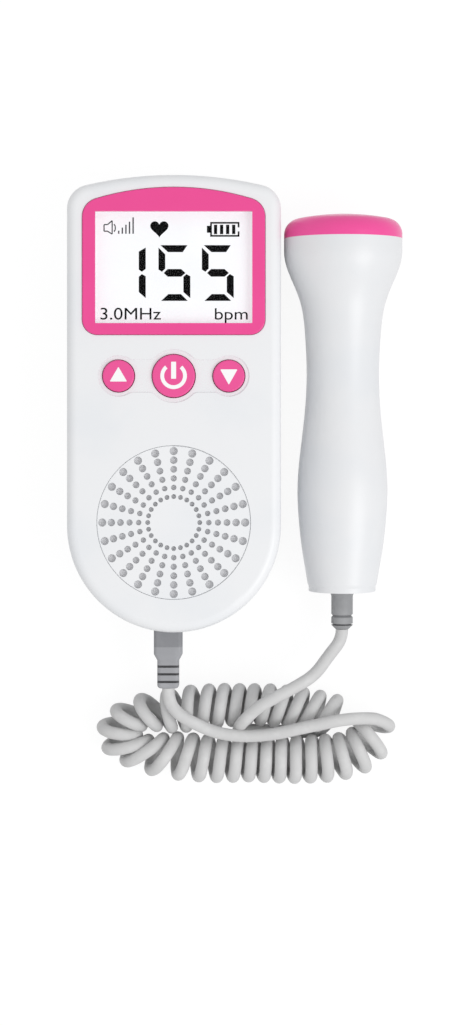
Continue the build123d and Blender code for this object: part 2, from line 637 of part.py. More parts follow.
with BuildPart() as window_lens:
    with BuildSketch(Plane.XY.offset(WINDOW_LOW_Z)):
        with Locations((0, WINDOW_Y)):
            Rectangle(WINDOW_WIDTH - FACE_GAP, WINDOW_LENGTH - FACE_GAP)
    extrude(amount=WINDOW_THICKNESS)
save(window_lens.part, "window_lens")

with BuildPart() as lcd_panel:
    with BuildSketch(Plane.XY.offset(LCD_LOW_Z)):
        with Locations((0, WINDOW_Y)):
            Rectangle(LCD_WIDTH, LCD_LENGTH)
    extrude(amount=LCD_THICKNESS)
    chamfer(lcd_panel.edges().filter_by(Axis.Z), LCD_CORNER_CUT)
save(lcd_panel.part, "lcd_panel")

with BuildPart() as lcd_frame:
    with BuildSketch(Plane.XY.offset(BACKLIGHT_LOW_Z)):
        with Locations((0, WINDOW_Y)):
            RectangleRounded(LCD_WIDTH + 2 * (LCD_FRAME_WALL + FACE_GAP),
                             LCD_LENGTH + 2 * (LCD_FRAME_WALL + FACE_GAP), LCD_FRAME_WALL)
            Rectangle(LCD_WIDTH + 2 * FACE_GAP, LCD_LENGTH + 2 * FACE_GAP, mode=Mode.SUBTRACT)
    extrude(amount=LCD_TOP_Z - BACKLIGHT_LOW_Z)
save(lcd_frame.part, "lcd_frame")

with BuildPart() as backlight:
    with BuildSketch(Plane.XY.offset(BACKLIGHT_LOW_Z)):
        with Locations((0, WINDOW_Y)):
            Rectangle(LCD_WIDTH, LCD_LENGTH)
    extrude(amount=BACKLIGHT_THICKNESS)
save(backlight.part, "backlight")

# ---------------------------------------------------------------- circuit board
with BuildPart() as main_board:
    board_outline = unit_outline(WALL + BOARD_MARGIN)
    extrude(Pos(0, 0, BOARD_LOW_Z) * board_outline, amount=BOARD_THICKNESS)
    split(bisect_by=Plane.XZ.offset(-BOARD_LOWER_Y), keep=Keep.BOTTOM)
    with Locations(*[(x, y, BOARD_LOW_Z) for x, y in boss_places]):
        Cylinder(BOSS_D / 2 + 2 * FIT, 4 * BOARD_THICKNESS, mode=Mode.SUBTRACT)
    with Locations(*[(x, y, BOARD_LOW_Z) for x, y in post_places]):
        Cylinder(BOARD_SCREW_D / 2 + FIT, 4 * BOARD_THICKNESS, mode=Mode.SUBTRACT)
save(main_board.part, "main_board")

with BuildPart() as board_chips:
    with BuildSketch(Plane.XY.offset(BOARD_LOW_Z - CHIP_HEIGHT)):
        for chip_x, chip_up, chip_width, chip_length in CHIPS:
            with Locations((chip_x, WINDOW_Y + chip_up)):
                Rectangle(chip_width, chip_length)
    extrude(amount=CHIP_HEIGHT)
    chamfer(board_chips.edges().group_by(Axis.Z)[0], CHIP_CHAMFER)
save(board_chips.part, "board_chips")

with BuildPart() as board_screws:
    for screw_x, screw_y in post_places:
        with Locations((screw_x, screw_y, BOARD_LOW_Z)):
            Cylinder(BOARD_SCREW_HEAD_D / 2, BOARD_SCREW_HEAD, align=(Align.CENTER, Align.CENTER, Align.MAX))
            Cylinder(BOARD_SCREW_D / 2 - FACE_GAP, FRONT_INNER_Z - BOARD_LOW_Z - BOARD_SCREW_END_ROOM,
                     align=(Align.CENTER, Align.CENTER, Align.MIN))
save(board_screws.part, "board_screws")

# ---------------------------------------------------------------- keys and their domes
for key_name, (key_x, key_d) in KEYS.items():
    with BuildPart() as key:
        with BuildSketch(Plane.XY.offset(KEY_FLANGE_TOP_Z)):
            with Locations((key_x, KEY_Y)):
                Circle(key_d / 2)
        extrude(amount=KEY_TOP_Z - KEY_FLANGE_TOP_Z)
        fillet(key.faces().sort_by(Axis.Z)[-1].edges(), KEY_EDGE_R)
        with Locations((key_x, KEY_Y, KEY_FLANGE_TOP_Z)):
            Cylinder(key_d / 2 + KEY_FLANGE, KEY_FLANGE_THICKNESS,
                     align=(Align.CENTER, Align.CENTER, Align.MAX))
        with Locations((key_x, KEY_Y, KEY_STEM_LOW_Z)):
            Cylinder(KEY_STEM_D / 2, KEY_FLANGE_TOP_Z - KEY_STEM_LOW_Z,
                     align=(Align.CENTER, Align.CENTER, Align.MIN))
    save(key.part, key_name)

    with BuildPart() as dome:
        with BuildSketch(Plane.XZ):
            with BuildLine():
                Polyline(
                    (0, BOARD_TOP_Z + DOME_HEIGHT),
                    (DOME_TOP_D / 2, BOARD_TOP_Z + DOME_HEIGHT),
                    (DOME_BASE_D / 2 - DOME_RIM, BOARD_TOP_Z + DOME_WALL),
                    (DOME_BASE_D / 2, BOARD_TOP_Z + DOME_WALL),
                    (DOME_BASE_D / 2, BOARD_TOP_Z),
                    (DOME_BASE_D / 2 - DOME_RIM - DOME_WALL / 2, BOARD_TOP_Z),
                    (DOME_TOP_D / 2 - DOME_WALL / 2, BOARD_TOP_Z + DOME_HEIGHT - DOME_WALL),
                    (0, BOARD_TOP_Z + DOME_HEIGHT - DOME_WALL),
                    close=True,
                )
            make_face()
        revolve(axis=Axis.Z)
    save(Pos(key_x, KEY_Y, 0) * dome.part, key_name.replace("key", "dome"))

# ---------------------------------------------------------------- speaker
with BuildPart() as grille_insert:
    with Locations((0, GRILLE_Y, GRILLE_FLANGE_LOW_Z)):
        Cylinder(GRILLE_R + GRILLE_FLANGE, GRILLE_FLANGE_THICKNESS,
                 align=(Align.CENTER, Align.CENTER, Align.MIN))
        Cylinder(GRILLE_R, GRILLE_FACE_Z - GRILLE_FLANGE_LOW_Z,
                 align=(Align.CENTER, Align.CENTER, Align.MIN))
    fillet(grille_insert.faces().sort_by(Axis.Z)[-1].edges(), GRILLE_EDGE_R)
    with Locations((0, GRILLE_Y, GRILLE_FACE_Z - GRILLE_PLATE)):
        Cylinder(GRILLE_R - GRILLE_SKIRT, WALL + GRILLE_FLANGE_THICKNESS,
                 align=(Align.CENTER, Align.CENTER, Align.MAX), mode=Mode.SUBTRACT)
    with BuildSketch(Plane.XY.offset(GRILLE_FLANGE_LOW_Z)):
        with Locations((0, GRILLE_Y)):
            for ring in range(GRILLE_RINGS):
                share = ring / (GRILLE_RINGS - 1)
                ring_r = GRILLE_FIRST_RING + share * (GRILLE_LAST_RING - GRILLE_FIRST_RING)
                hole_d = GRILLE_HOLE_FIRST + share * (GRILLE_HOLE_LAST - GRILLE_HOLE_FIRST)
                with PolarLocations(ring_r, GRILLE_SPOKES):
                    Circle(hole_d / 2)
    extrude(amount=FRONT_Z, mode=Mode.SUBTRACT)
save(grille_insert.part, "grille_insert")

with BuildPart() as grille_cloth:
    with Locations((0, GRILLE_Y, GRILLE_FACE_Z - GRILLE_PLATE - FACE_GAP)):
        Cylinder(GRILLE_R - GRILLE_SKIRT - FACE_GAP, CLOTH_THICKNESS,
                 align=(Align.CENTER, Align.CENTER, Align.MAX))
save(grille_cloth.part, "grille_cloth")

with BuildPart() as speaker_gasket:
    with BuildSketch(Plane.XY.offset(GASKET_LOW_Z)):
        with Locations((0, GRILLE_Y)):
            Circle(GRILLE_R + GRILLE_FLANGE)
            Circle(SPEAKER_R - GASKET_LAP, mode=Mode.SUBTRACT)
    extrude(amount=GASKET_THICKNESS)
save(speaker_gasket.part, "speaker_gasket")

basket_top = GASKET_LOW_Z
basket_flange = basket_top - SPEAKER_FLANGE_THICKNESS
cone_floor = BASKET_LOW_Z + SPEAKER_PLATE + FACE_GAP
with BuildPart() as speaker_basket:
    with BuildSketch(Plane.XZ):
        with BuildLine():
            Polyline(
                (SPEAKER_R - BASKET_RIM - BASKET_WALL, basket_top),
                (SPEAKER_R, basket_top),
                (SPEAKER_R, basket_flange),
                (SPEAKER_R - BASKET_RIM, basket_flange),
                (SPEAKER_MAGNET_R + BASKET_FLOOR_EDGE, BASKET_LOW_Z),
                (0, BASKET_LOW_Z),
                (0, BASKET_LOW_Z + SPEAKER_PLATE),
                (SPEAKER_MAGNET_R + BASKET_FLOOR_EDGE - BASKET_WALL / 2, BASKET_LOW_Z + SPEAKER_PLATE),
                close=True,
            )
        make_face()
    revolve(axis=Axis.Z)
save(Pos(0, GRILLE_Y, 0) * speaker_basket.part, "speaker_basket")

with BuildPart() as speaker_cone:
    with BuildSketch(Plane.XZ):
        with BuildLine():
            Polyline(
                (CONE_EDGE_R, basket_top),
                (CONE_EDGE_R, basket_top + CONE_THICKNESS),
                (CONE_EDGE_R - CONE_RIM, basket_top + CONE_THICKNESS),
                (CONE_NECK_R, cone_floor + CONE_NECK_HEIGHT),
                (0, cone_floor + CONE_NECK_HEIGHT + CONE_CAP_RISE),
                (0, cone_floor + CONE_NECK_HEIGHT + CONE_CAP_RISE - CONE_THICKNESS),
                (CONE_NECK_R - CONE_THICKNESS, cone_floor),
                (CONE_NECK_R + CONE_THICKNESS, cone_floor),
                (CONE_EDGE_R - CONE_RIM + CONE_THICKNESS / 2, basket_top),
                close=True,
            )
        make_face()
    revolve(axis=Axis.Z)
save(Pos(0, GRILLE_Y, 0) * speaker_cone.part, "speaker_cone")

with BuildPart() as speaker_magnet:
    with Locations((0, GRILLE_Y, BASKET_LOW_Z)):
        Cylinder(SPEAKER_MAGNET_R, SPEAKER_MAGNET_THICKNESS, align=(Align.CENTER, Align.CENTER, Align.MAX))
    chamfer(speaker_magnet.edges().sort_by(Axis.Z)[0], MAGNET_CHAMFER)
save(speaker_magnet.part, "speaker_magnet")

# ---------------------------------------------------------------- batteries
cell_pitch = CELL_D + CELL_GAP
cell_shift = BAY_LENGTH / 2 - CONTACT_THICKNESS - FACE_GAP - CELL_NUB - CELL_LENGTH / 2
spring_length = BAY_LENGTH / 2 - CONTACT_THICKNESS - FACE_GAP - CELL_LENGTH / 2 + cell_shift
cell_places = [(BAY_Y - cell_pitch / 2, 1), (BAY_Y + cell_pitch / 2, -1)]  # and which end has the nub

with BuildPart() as battery_cells:
    for cell_y, nub_end in cell_places:
        with Locations(Location((nub_end * cell_shift, cell_y, CELL_Z), (0, 90 * nub_end, 0))):
            Cylinder(CELL_D / 2, CELL_LENGTH)
        nub_x = nub_end * (cell_shift + CELL_LENGTH / 2)
        with Locations(Location((nub_x, cell_y, CELL_Z), (0, 90 * nub_end, 0))):
            Cylinder(CELL_NUB_D / 2, CELL_NUB, align=(Align.CENTER, Align.CENTER, Align.MIN))
save(battery_cells.part, "battery_cells")

with BuildPart() as battery_contacts:
    for cell_y, nub_end in cell_places:
        # a flat plate at each end of the cell, the one away from the nub with a sprung cone on it
        for wall in (-1, 1):
            with Locations((wall * (BAY_LENGTH - CONTACT_THICKNESS) / 2, cell_y, CELL_Z)):
                Box(CONTACT_THICKNESS, CONTACT_SIZE, CONTACT_SIZE)
        cone_x = -nub_end * (BAY_LENGTH / 2 - CONTACT_THICKNESS)
        with Locations(Location((cone_x, cell_y, CELL_Z), (0, 90 * nub_end, 0))):
            Cone(SPRING_BASE_D / 2, SPRING_TIP_D / 2, spring_length,
                 align=(Align.CENTER, Align.CENTER, Align.MIN))
save(battery_contacts.part, "battery_contacts")

with BuildPart() as housing_screws:
    for boss_x, boss_y in boss_places:
        with Locations((boss_x, boss_y, SCREW_SINK + SCREW_HEAD_HEIGHT)):
            Cylinder(SCREW_HEAD_D / 2, SCREW_HEAD_HEIGHT, align=(Align.CENTER, Align.CENTER, Align.MAX))
            Cylinder(SCREW_D / 2 - FACE_GAP, SCREW_TIP_Z - SCREW_SINK - SCREW_HEAD_HEIGHT,
                     align=(Align.CENTER, Align.CENTER, Align.MIN))
save(housing_screws.part, "housing_screws")

# ---------------------------------------------------------------- sockets, plug and boot
with BuildPart() as probe_socket:
    with Locations((PLUG_X, SOCKET_Y, PARTING_Z)):
        Box(SOCKET_WIDTH, SOCKET_LENGTH, SOCKET_HEIGHT, align=(Align.CENTER, Align.MIN, Align.CENTER))
    with Locations((PLUG_X, TONGUE_END_Y + FIT, PARTING_Z)):
        Box(TONGUE_WIDTH + 2 * FACE_GAP, 2 * TONGUE_LENGTH, TONGUE_HEIGHT + 2 * FACE_GAP,
            align=(Align.CENTER, Align.MAX, Align.CENTER), mode=Mode.SUBTRACT)
save(probe_socket.part, "probe_socket")

with BuildPart() as earphone_jack:
    with Locations((-HALF_WIDTH + WALL + FIT, JACK_Y, PARTING_Z - JACK_WIDTH / 2)):
        Box(JACK_LENGTH - WALL, JACK_WIDTH, BOARD_LOW_Z - PARTING_Z + JACK_WIDTH / 2,
            align=(Align.MIN, Align.CENTER, Align.MIN))
    with Locations(Location((-HALF_WIDTH, JACK_Y, PARTING_Z), (0, 90, 0))):
        Cylinder(JACK_SLEEVE_D / 2, WALL + JACK_WALL, align=(Align.CENTER, Align.CENTER, Align.MIN))
        Cylinder(JACK_BORE_D / 2, JACK_LENGTH - JACK_WALL, align=(Align.CENTER, Align.CENTER, Align.MIN),
                 mode=Mode.SUBTRACT)
save(earphone_jack.part, "earphone_jack")

with BuildPart() as cable_plug:
    with BuildSketch(Plane.XZ.offset(-PLUG_END_Y)):
        with Locations((PLUG_X, PARTING_Z)):
            RectangleRounded(PLUG_WIDTH, PLUG_HEIGHT, PLUG_CORNER_R)
    extrude(amount=PLUG_END_Y - LOW_Y - PLUG_CORNER_R)
    with Locations((0, ROUND_Y, 0)):
        Cylinder(HALF_WIDTH + FACE_GAP, 3 * UNIT_THICKNESS, mode=Mode.SUBTRACT)
    with Locations((PLUG_X, TONGUE_END_Y, PARTING_Z)):
        Box(TONGUE_WIDTH, TONGUE_END_Y - PLUG_END_Y - PLUG_CORNER_R, TONGUE_HEIGHT,
            align=(Align.CENTER, Align.MAX, Align.CENTER))
save(cable_plug.part, "cable_plug")

with BuildPart() as plug_boot:
    with BuildSketch(Plane.XZ.offset(-PLUG_END_Y)):
        with Locations((PLUG_X, PARTING_Z)):
            RectangleRounded(PLUG_WIDTH, PLUG_HEIGHT, PLUG_CORNER_R)
    extrude(amount=PLUG_END_Y - BOOT_SHOULDER_Y)
    for station_y, width, height in ((BOOT_SHOULDER_Y, PLUG_WIDTH, PLUG_HEIGHT),
                                     (BOOT_NECK_Y, BOOT_NECK_WIDTH, BOOT_NECK_HEIGHT)):
        with BuildSketch(Plane.XZ.offset(-station_y)):
            with Locations((PLUG_X, PARTING_Z)):
                RectangleRounded(width, height, PLUG_CORNER_R)
    loft()
    with BuildSketch(Plane.XZ.offset(-BOOT_NECK_Y)):
        with Locations((PLUG_X, PARTING_Z)):
            RectangleRounded(BOOT_NECK_WIDTH, BOOT_NECK_HEIGHT, PLUG_CORNER_R)
    extrude(amount=BOOT_NECK_Y - BOOT_END_Y)
    fillet(plug_boot.faces().sort_by(Axis.Y)[0].edges(), BOOT_END_R)
    # bending slots in both wide faces
    for slot in range(BOOT_SLOTS):
        slot_y = BOOT_NECK_Y - BOOT_SLOT_START - slot * BOOT_SLOT_PITCH
        for face_side in (-1, 1):
            with Locations((PLUG_X, slot_y, PARTING_Z + face_side * BOOT_NECK_HEIGHT / 2)):
                Box(2 * BOOT_NECK_WIDTH, BOOT_SLOT_WIDTH, 2 * BOOT_SLOT_DEPTH, mode=Mode.SUBTRACT)
save(plug_boot.part, "plug_boot")


# ---------------------------------------------------------------- probe
def cap_profile(inset):
    """Half section of the pink cap, drawn in by inset: a shallow dome with a rounded edge."""
    dome_drop = CAP_DOME_R - sqrt(CAP_DOME_R**2 - HEAD_R**2)
    with BuildSketch(PROBE_PLANE) as profile:
        with BuildLine():
            RadiusArc((inset, 0), (dome_drop + inset, HEAD_R - inset), CAP_DOME_R)
            Polyline((dome_drop + inset, HEAD_R - inset), (CAP_DEPTH, HEAD_R - inset), (CAP_DEPTH, 0),
                     (inset, 0))
        make_face()
    return profile.sketch


def handle_profile(inset):
    """Half section of the handle behind the cap, drawn in by inset."""
    flank = [(s, r - inset) for s, r in PROBE_FLANK]
    with BuildSketch(PROBE_PLANE) as profile:
        with BuildLine():
            Line((CAP_DEPTH, 0), (CAP_DEPTH, HEAD_R - inset))
            Line((CAP_DEPTH, HEAD_R - inset), flank[0])
            Spline(*flank, tangents=((1, 0), (1, -TAIL_SLOPE)))
            Polyline(flank[-1], (PROBE_LENGTH, 0), (CAP_DEPTH, 0))
        make_face()
    return profile.sketch


def at_probe(s, up=0.0):
    """The frame at distance s along the probe's axis: Z along the axis, to the tail, Y upwards."""
    origin = PROBE_ORIGIN + PROBE_DIR * s + PROBE_PLANE.y_dir * up
    return Plane(origin=origin, x_dir=(-1, 0, 0), z_dir=PROBE_DIR)


with BuildPart() as transducer_cap:
    revolve(cap_profile(0), axis=PROBE_AXIS)
    rim = transducer_cap.edges().filter_by(GeomType.CIRCLE).sort_by(PROBE_AXIS)
    fillet([edge for edge in rim if edge.center().Y > PROBE_HEAD_Y - 3], CAP_EDGE_R)
    with BuildSketch(at_probe(CAP_DEPTH)):
        Circle(HEAD_R - PROBE_WALL - FACE_GAP)
    extrude(amount=CAP_SPIGOT)
    with BuildSketch(at_probe(CAP_FACE)):
        Circle(BACKING_R)
    extrude(amount=CAP_DEPTH + CAP_SPIGOT, mode=Mode.SUBTRACT)
save(transducer_cap.part, "transducer_cap")

with BuildPart() as crystal_discs:
    with BuildSketch(at_probe(CAP_FACE + FACE_GAP)):
        Circle(BACKING_R - CRYSTAL_MARGIN)
        Rectangle(CRYSTAL_GAP, 2 * BACKING_R, mode=Mode.SUBTRACT)
    extrude(amount=CRYSTAL_THICKNESS)
save(crystal_discs.part, "crystal_discs")

with BuildPart() as crystal_backing:
    with BuildSketch(at_probe(CAP_FACE + 2 * FACE_GAP + CRYSTAL_THICKNESS)):
        Circle(BACKING_R - FACE_GAP)
    extrude(amount=BACKING_THICKNESS)
save(crystal_backing.part, "crystal_backing")

board_half = WAIST_R - PROBE_WALL - PROBE_BOARD_GAP
with BuildPart() as handle:
    revolve(handle_profile(0), axis=PROBE_AXIS)
    tail_edge = handle.edges().filter_by(GeomType.CIRCLE).sort_by(Axis.Y)[0]
    fillet(tail_edge, TAIL_EDGE_R)
    revolve(handle_profile(PROBE_WALL), axis=PROBE_AXIS, mode=Mode.SUBTRACT)
    with BuildSketch(at_probe(PROBE_LENGTH)):
        Circle(TAIL_R)
    extrude(amount=-PROBE_WALL)
    add(revolve(handle_profile(0), axis=PROBE_AXIS, mode=Mode.PRIVATE), mode=Mode.INTERSECT)
    with BuildSketch(at_probe(PROBE_LENGTH - 2 * PROBE_WALL)):
        Circle(TAIL_BORE_R)
    extrude(amount=4 * PROBE_WALL, mode=Mode.SUBTRACT)

for shell_name, side in (("probe_shell_upper", Keep.TOP), ("probe_shell_lower", Keep.BOTTOM)):
    with BuildPart() as shell:
        add(handle.part)
        split(bisect_by=PROBE_SPLIT, keep=side)
    save(shell.part, shell_name)

with BuildPart() as probe_board:
    with BuildSketch(at_probe(PROBE_BOARD_START * PROBE_LENGTH)):
        Rectangle(2 * board_half, BOARD_THICKNESS)
    extrude(amount=PROBE_BOARD_LENGTH * PROBE_LENGTH)
save(probe_board.part, "probe_board")

flange_top = PROBE_LENGTH - PROBE_WALL - FACE_GAP
notch = PROBE_LENGTH + PROBE_BOOT_NOTCH
groove = PROBE_LENGTH + PROBE_BOOT_GROOVE
with BuildPart() as probe_boot:
    with BuildSketch(PROBE_PLANE):
        with BuildLine():
            Polyline(
                (PROBE_LENGTH + PROBE_BOOT_LENGTH, PROBE_BOOT_END_R),
                (PROBE_LENGTH + PROBE_BOOT_LENGTH, 0),
                (flange_top - PROBE_BOOT_FLANGE, 0),
                (flange_top - PROBE_BOOT_FLANGE, PROBE_BOOT_FLANGE_R),
                (flange_top, PROBE_BOOT_FLANGE_R),
                (flange_top, PROBE_BOOT_R),
                (PROBE_LENGTH + FACE_GAP, PROBE_BOOT_R),
                (PROBE_LENGTH + FACE_GAP, PROBE_BOOT_FLARE_R),
                (PROBE_LENGTH + PROBE_BOOT_FLARE, PROBE_BOOT_R),
                (notch - PROBE_BOOT_NOTCH_DEPTH, PROBE_BOOT_R),
                (notch, PROBE_BOOT_R - PROBE_BOOT_NOTCH_DEPTH),
                (notch + PROBE_BOOT_NOTCH_DEPTH, PROBE_BOOT_R),
                (groove, PROBE_BOOT_R),
                (groove, PROBE_BOOT_R - PROBE_BOOT_NOTCH_DEPTH),
                (groove + PROBE_BOOT_GROOVE_WIDTH, PROBE_BOOT_R - PROBE_BOOT_NOTCH_DEPTH),
                (groove + PROBE_BOOT_GROOVE_WIDTH, PROBE_BOOT_R),
            )
            Line((groove + PROBE_BOOT_GROOVE_WIDTH, PROBE_BOOT_R),
                 (PROBE_LENGTH + PROBE_BOOT_LENGTH, PROBE_BOOT_END_R))
        make_face()
    revolve(axis=PROBE_AXIS)
save(probe_boot.part, "probe_boot")

with BuildPart() as cable_clamp:
    clamp_end = flange_top - PROBE_BOOT_FLANGE - FACE_GAP
    with BuildSketch(at_probe(clamp_end)):
        Circle(CLAMP_R)
    extrude(amount=-CLAMP_LENGTH)
save(cable_clamp.part, "cable_clamp")

# ---------------------------------------------------------------- lead
boot_exit = PROBE_ORIGIN + PROBE_DIR * (PROBE_LENGTH + PROBE_BOOT_LENGTH)
probe_end = [tuple(boot_exit + PROBE_DIR * PROBE_LEAD_RUN), tuple(boot_exit)]
plug_end = [(PLUG_X, BOOT_END_Y, PARTING_Z), (PLUG_X, BOOT_END_Y - UNIT_LEAD_RUN, PARTING_Z)]

tube([(x, y, COIL_Z) for x, y in COIL_ROUTE], COIL_D, "curly_cord")
tube(plug_end + LEAD_UNIT_ROUTE, WIRE_D, "lead_unit")
tube(LEAD_PROBE_ROUTE + probe_end, WIRE_D, "lead_probe")
print("probe tilt", round(degrees(PROBE_TILT), 2), "boot exit", boot_exit)
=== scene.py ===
from bisect import bisect_left
from itertools import pairwise
from math import cos, hypot, pi, radians, sin

import bmesh
import bpy
from mathutils import Matrix, Vector


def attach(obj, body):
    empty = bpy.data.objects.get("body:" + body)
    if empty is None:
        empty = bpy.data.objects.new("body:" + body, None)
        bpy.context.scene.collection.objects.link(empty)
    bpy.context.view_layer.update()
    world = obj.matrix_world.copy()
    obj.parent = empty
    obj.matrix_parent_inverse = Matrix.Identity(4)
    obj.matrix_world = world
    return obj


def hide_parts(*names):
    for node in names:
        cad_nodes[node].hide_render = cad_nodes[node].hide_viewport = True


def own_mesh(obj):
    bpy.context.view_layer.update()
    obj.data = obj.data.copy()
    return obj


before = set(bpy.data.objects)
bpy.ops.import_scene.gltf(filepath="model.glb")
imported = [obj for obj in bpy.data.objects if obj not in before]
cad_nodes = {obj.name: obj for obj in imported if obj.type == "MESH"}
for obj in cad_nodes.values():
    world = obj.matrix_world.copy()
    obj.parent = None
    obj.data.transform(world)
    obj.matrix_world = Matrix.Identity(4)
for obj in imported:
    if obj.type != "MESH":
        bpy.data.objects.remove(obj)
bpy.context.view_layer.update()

MM = 0.001
UP = Vector((0, 0, 1))


def in_scene(name, data):
    """A new object of that data, linked to the scene."""
    made = bpy.data.objects.new(name, data)
    bpy.context.scene.collection.objects.link(made)
    return made


# ---------------------------------------------------------------- camera, straight above
camera = in_scene("overhead_camera", bpy.data.cameras.new("overhead_camera"))
camera.location = (0.01825, -0.03165, 0.6)
camera.data.lens = 69.4
camera.data.sensor_width = 36.0
bpy.context.scene.camera = camera

# ---------------------------------------------------------------- lead, in millimetres
WIRE_D = 3.7
TURN_POINTS = 16  # control points in each turn of the coil
OUTWARDS = 1 / (0.75 + 0.25 * cos(2 * pi / TURN_POINTS))  # the spline runs inside its control points
COIL_STEP = 0.05  # how finely the turns are shared out along the coil
COIL_LINE_STEPS = 24
LEAD_STEPS = 6
LEAD_SIDES = 6

# listed points, close to the imported lead's and drawn in a little at the left end
COIL_ROUTE = [
    (58.7, -92.6), (59.2, -97.0), (56.4, -102.4), (48.5, -105.0), (36.0, -105.4), (21.0, -105.5), (6.0, -105.0),
    (-6.0, -103.7), (-15.4, -101.6), (-17.6, -97.4), (-15.4, -93.2), (-6.0, -91.3), (6.0, -90.0), (21.0, -88.9),
    (33.0, -89.6), (41.0, -90.6), (47.5, -92.2),
]
LEAD_UNIT_ROUTE = [
    (-2.0, -83.25, 17.0), (-2.0, -87.05, 17.0), (1.0, -91.0, 17.4), (5.9, -93.9, 16.2), (11.8, -96.6, 15.0),
    (19.1, -97.9, 14.3), (28.2, -97.4, 14.3), (36.9, -95.4, 15.3), (45.0, -93.5, 16.6), (51.0, -92.4, 16.4),
]
LEAD_PROBE_ROUTE = [
    (45.4, -95.8, 1.85), (42.4, -97.9, 1.85), (38.0, -97.9, 1.85), (32.0, -97.6, 1.85), (26.0, -97.2, 1.9),
    (20.4, -97.1, 3.0), (18.8, -96.9, 8.0), (18.7, -95.4, 12.5), (20.6, -92.6, 16.2), (24.6, -88.6, 18.3),
    (30.5, -85.4, 18.3), (36.0, -82.7, 16.6), (41.5, -79.5, 14.0), (45.7, -73.8, 12.0), (49.5, -69.25, 10.97),
    (49.5, -66.06, 11.15),
]


def open_spline(name, points, width=0.0):
    """A curve with one open quadratic NURBS spline, whose control points are given in millimetres."""
    curve = bpy.data.curves.new(name, "CURVE")
    curve.dimensions = "3D"
    spline = curve.splines.new("NURBS")
    spline.points.add(len(points) - 1)
    for target, point in zip(spline.points, points):
        x, y, z = (*point, 0.0)[:3]
        target.co = (x * MM, y * MM, z * MM, 1.0)
        target.radius = width * MM / 2  # a curve's box reaches out by this, so the bevel's own depth is 1
    spline.order_u = 3
    spline.use_endpoint_u = True
    curve.bevel_depth = 1.0 if width else 0.0
    return curve


def line_of(curve, steps):
    """Points along a curve's middle line, in millimetres, with that many steps to each control point."""
    bare = curve.copy()
    bare.bevel_depth = 0.0
    bare.splines[0].resolution_u = steps
    holder = bpy.data.objects.new("line", bare)
    mesh = bpy.data.meshes.new_from_object(holder)
    line = [vertex.co / MM for vertex in mesh.vertices]
    bpy.data.objects.remove(holder)
    bpy.data.meshes.remove(mesh)
    bpy.data.curves.remove(bare)
    return line


def marks_along(line):
    """The points of a line, each with its distance from the start."""
    marks = [(0.0, line[0])]
    for before, after in pairwise(line):
        marks.append((marks[-1][0] + (after - before).length, after))
    return marks


def between(marks, distance):
    """The value or point at a distance, on straight lines between marks."""
    for (before, first), (after, last) in pairwise(marks):
        if distance <= after:
            return first + (last - first) * (distance - before) / (after - before)
    return marks[-1][1]


coil_marks = marks_along(line_of(open_spline("coil_line", COIL_ROUTE), COIL_LINE_STEPS))
END = coil_marks[-1][0]
TIP = min(coil_marks, key=lambda mark: mark[1].x)[0]  # the coil's left end

# Marks along the coil, from the unit's end: which way the turns' axis points, in degrees, the room for each
# turn, and how far the wire's middle is from the coil's. The turns swing round over longer stretches than the
# coil's own bends, which keeps their inner sides apart.
HEADING_MARKS = [
    (0, 262), (6, 226), (24, 190), (TIP - 29, 180), (TIP - 20, 167), (TIP, 90), (TIP + 20, 13), (TIP + 29, 0),
    (END - 26, 0), (END, -28),
]
PITCH_MARKS = [
    (0, 6.2), (10, 5.6), (20, 4.9), (34, 4.5), (TIP - 42, 4.5), (TIP - 26, 5.2), (TIP - 16, 6.7),
    (TIP - 4, 5.1), (TIP + 4, 5.2), (TIP + 11, 6.5), (TIP + 18, 6.3), (TIP + 28, 4.9), (TIP + 42, 4.4),
    (END - 26, 4.3), (END - 14, 4.7), (END, 5.0),
]
RADIUS_MARKS = [
    (0, 5.2), (20, 5.6), (TIP - 54, 5.6), (TIP - 42, 5.1), (TIP - 32, 5.5), (TIP - 12, 5.6), (TIP, 5.1),
    (TIP + 12, 5.5), (TIP + 32, 5.1), (TIP + 41, 4.5), (TIP + 50, 4.8), (END, 4.6),
]


def coil_points():
    """Helix points along the coil, from the top of its first turn to the bottom of its last."""
    distances = [COIL_STEP * i for i in range(int(END / COIL_STEP) + 1)]
    turns = [0.0]
    for distance in distances[1:]:
        turns.append(turns[-1] + COIL_STEP / between(PITCH_MARKS, distance))
    whole = round(turns[-1]) + 0.5
    count = int(whole * TURN_POINTS)
    points = []
    for i in range(count + 1):
        reached = bisect_left(turns, turns[-1] * i / count, 1)
        distance = distances[min(reached, len(turns) - 1) - 1]
        heading = radians(between(HEADING_MARKS, distance))
        side = UP.cross(Vector((cos(heading), sin(heading), 0.0)))
        radius = between(RADIUS_MARKS, distance)
        middle = between(coil_marks, distance) + (radius + WIRE_D / 2) * UP
        turn = 2 * pi * whole * i / count
        points.append(middle + radius * OUTWARDS * (cos(turn) * UP + sin(turn) * side))
    return points


lead_curve = open_spline("probe_lead", LEAD_UNIT_ROUTE + coil_points() + LEAD_PROBE_ROUTE, WIRE_D)
lead_curve.splines[0].resolution_u = LEAD_STEPS
lead_curve.bevel_resolution = LEAD_SIDES
lead_curve.use_fill_caps = True
lead = in_scene("probe_lead", lead_curve)
lead_length = marks_along(line_of(lead_curve, LEAD_STEPS))[-1][0] * MM
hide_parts("lead_unit", "curly_cord", "lead_probe")
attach(lead, "root")

# ---------------------------------------------------------------- finishes
# sockets of a Mix node that mixes colours
MIX_SHARE, MIX_FIRST, MIX_SECOND, MIX_RESULT = 0, 6, 7, 2


def paint(red, green, blue):
    """A display colour from 0 to 255, as the linear colour that a shader takes."""
    shares = [value / 255 for value in (red, green, blue)]
    return (*(s / 12.92 if s <= 0.04045 else ((s + 0.055) / 1.055) ** 2.4 for s in shares), 1.0)


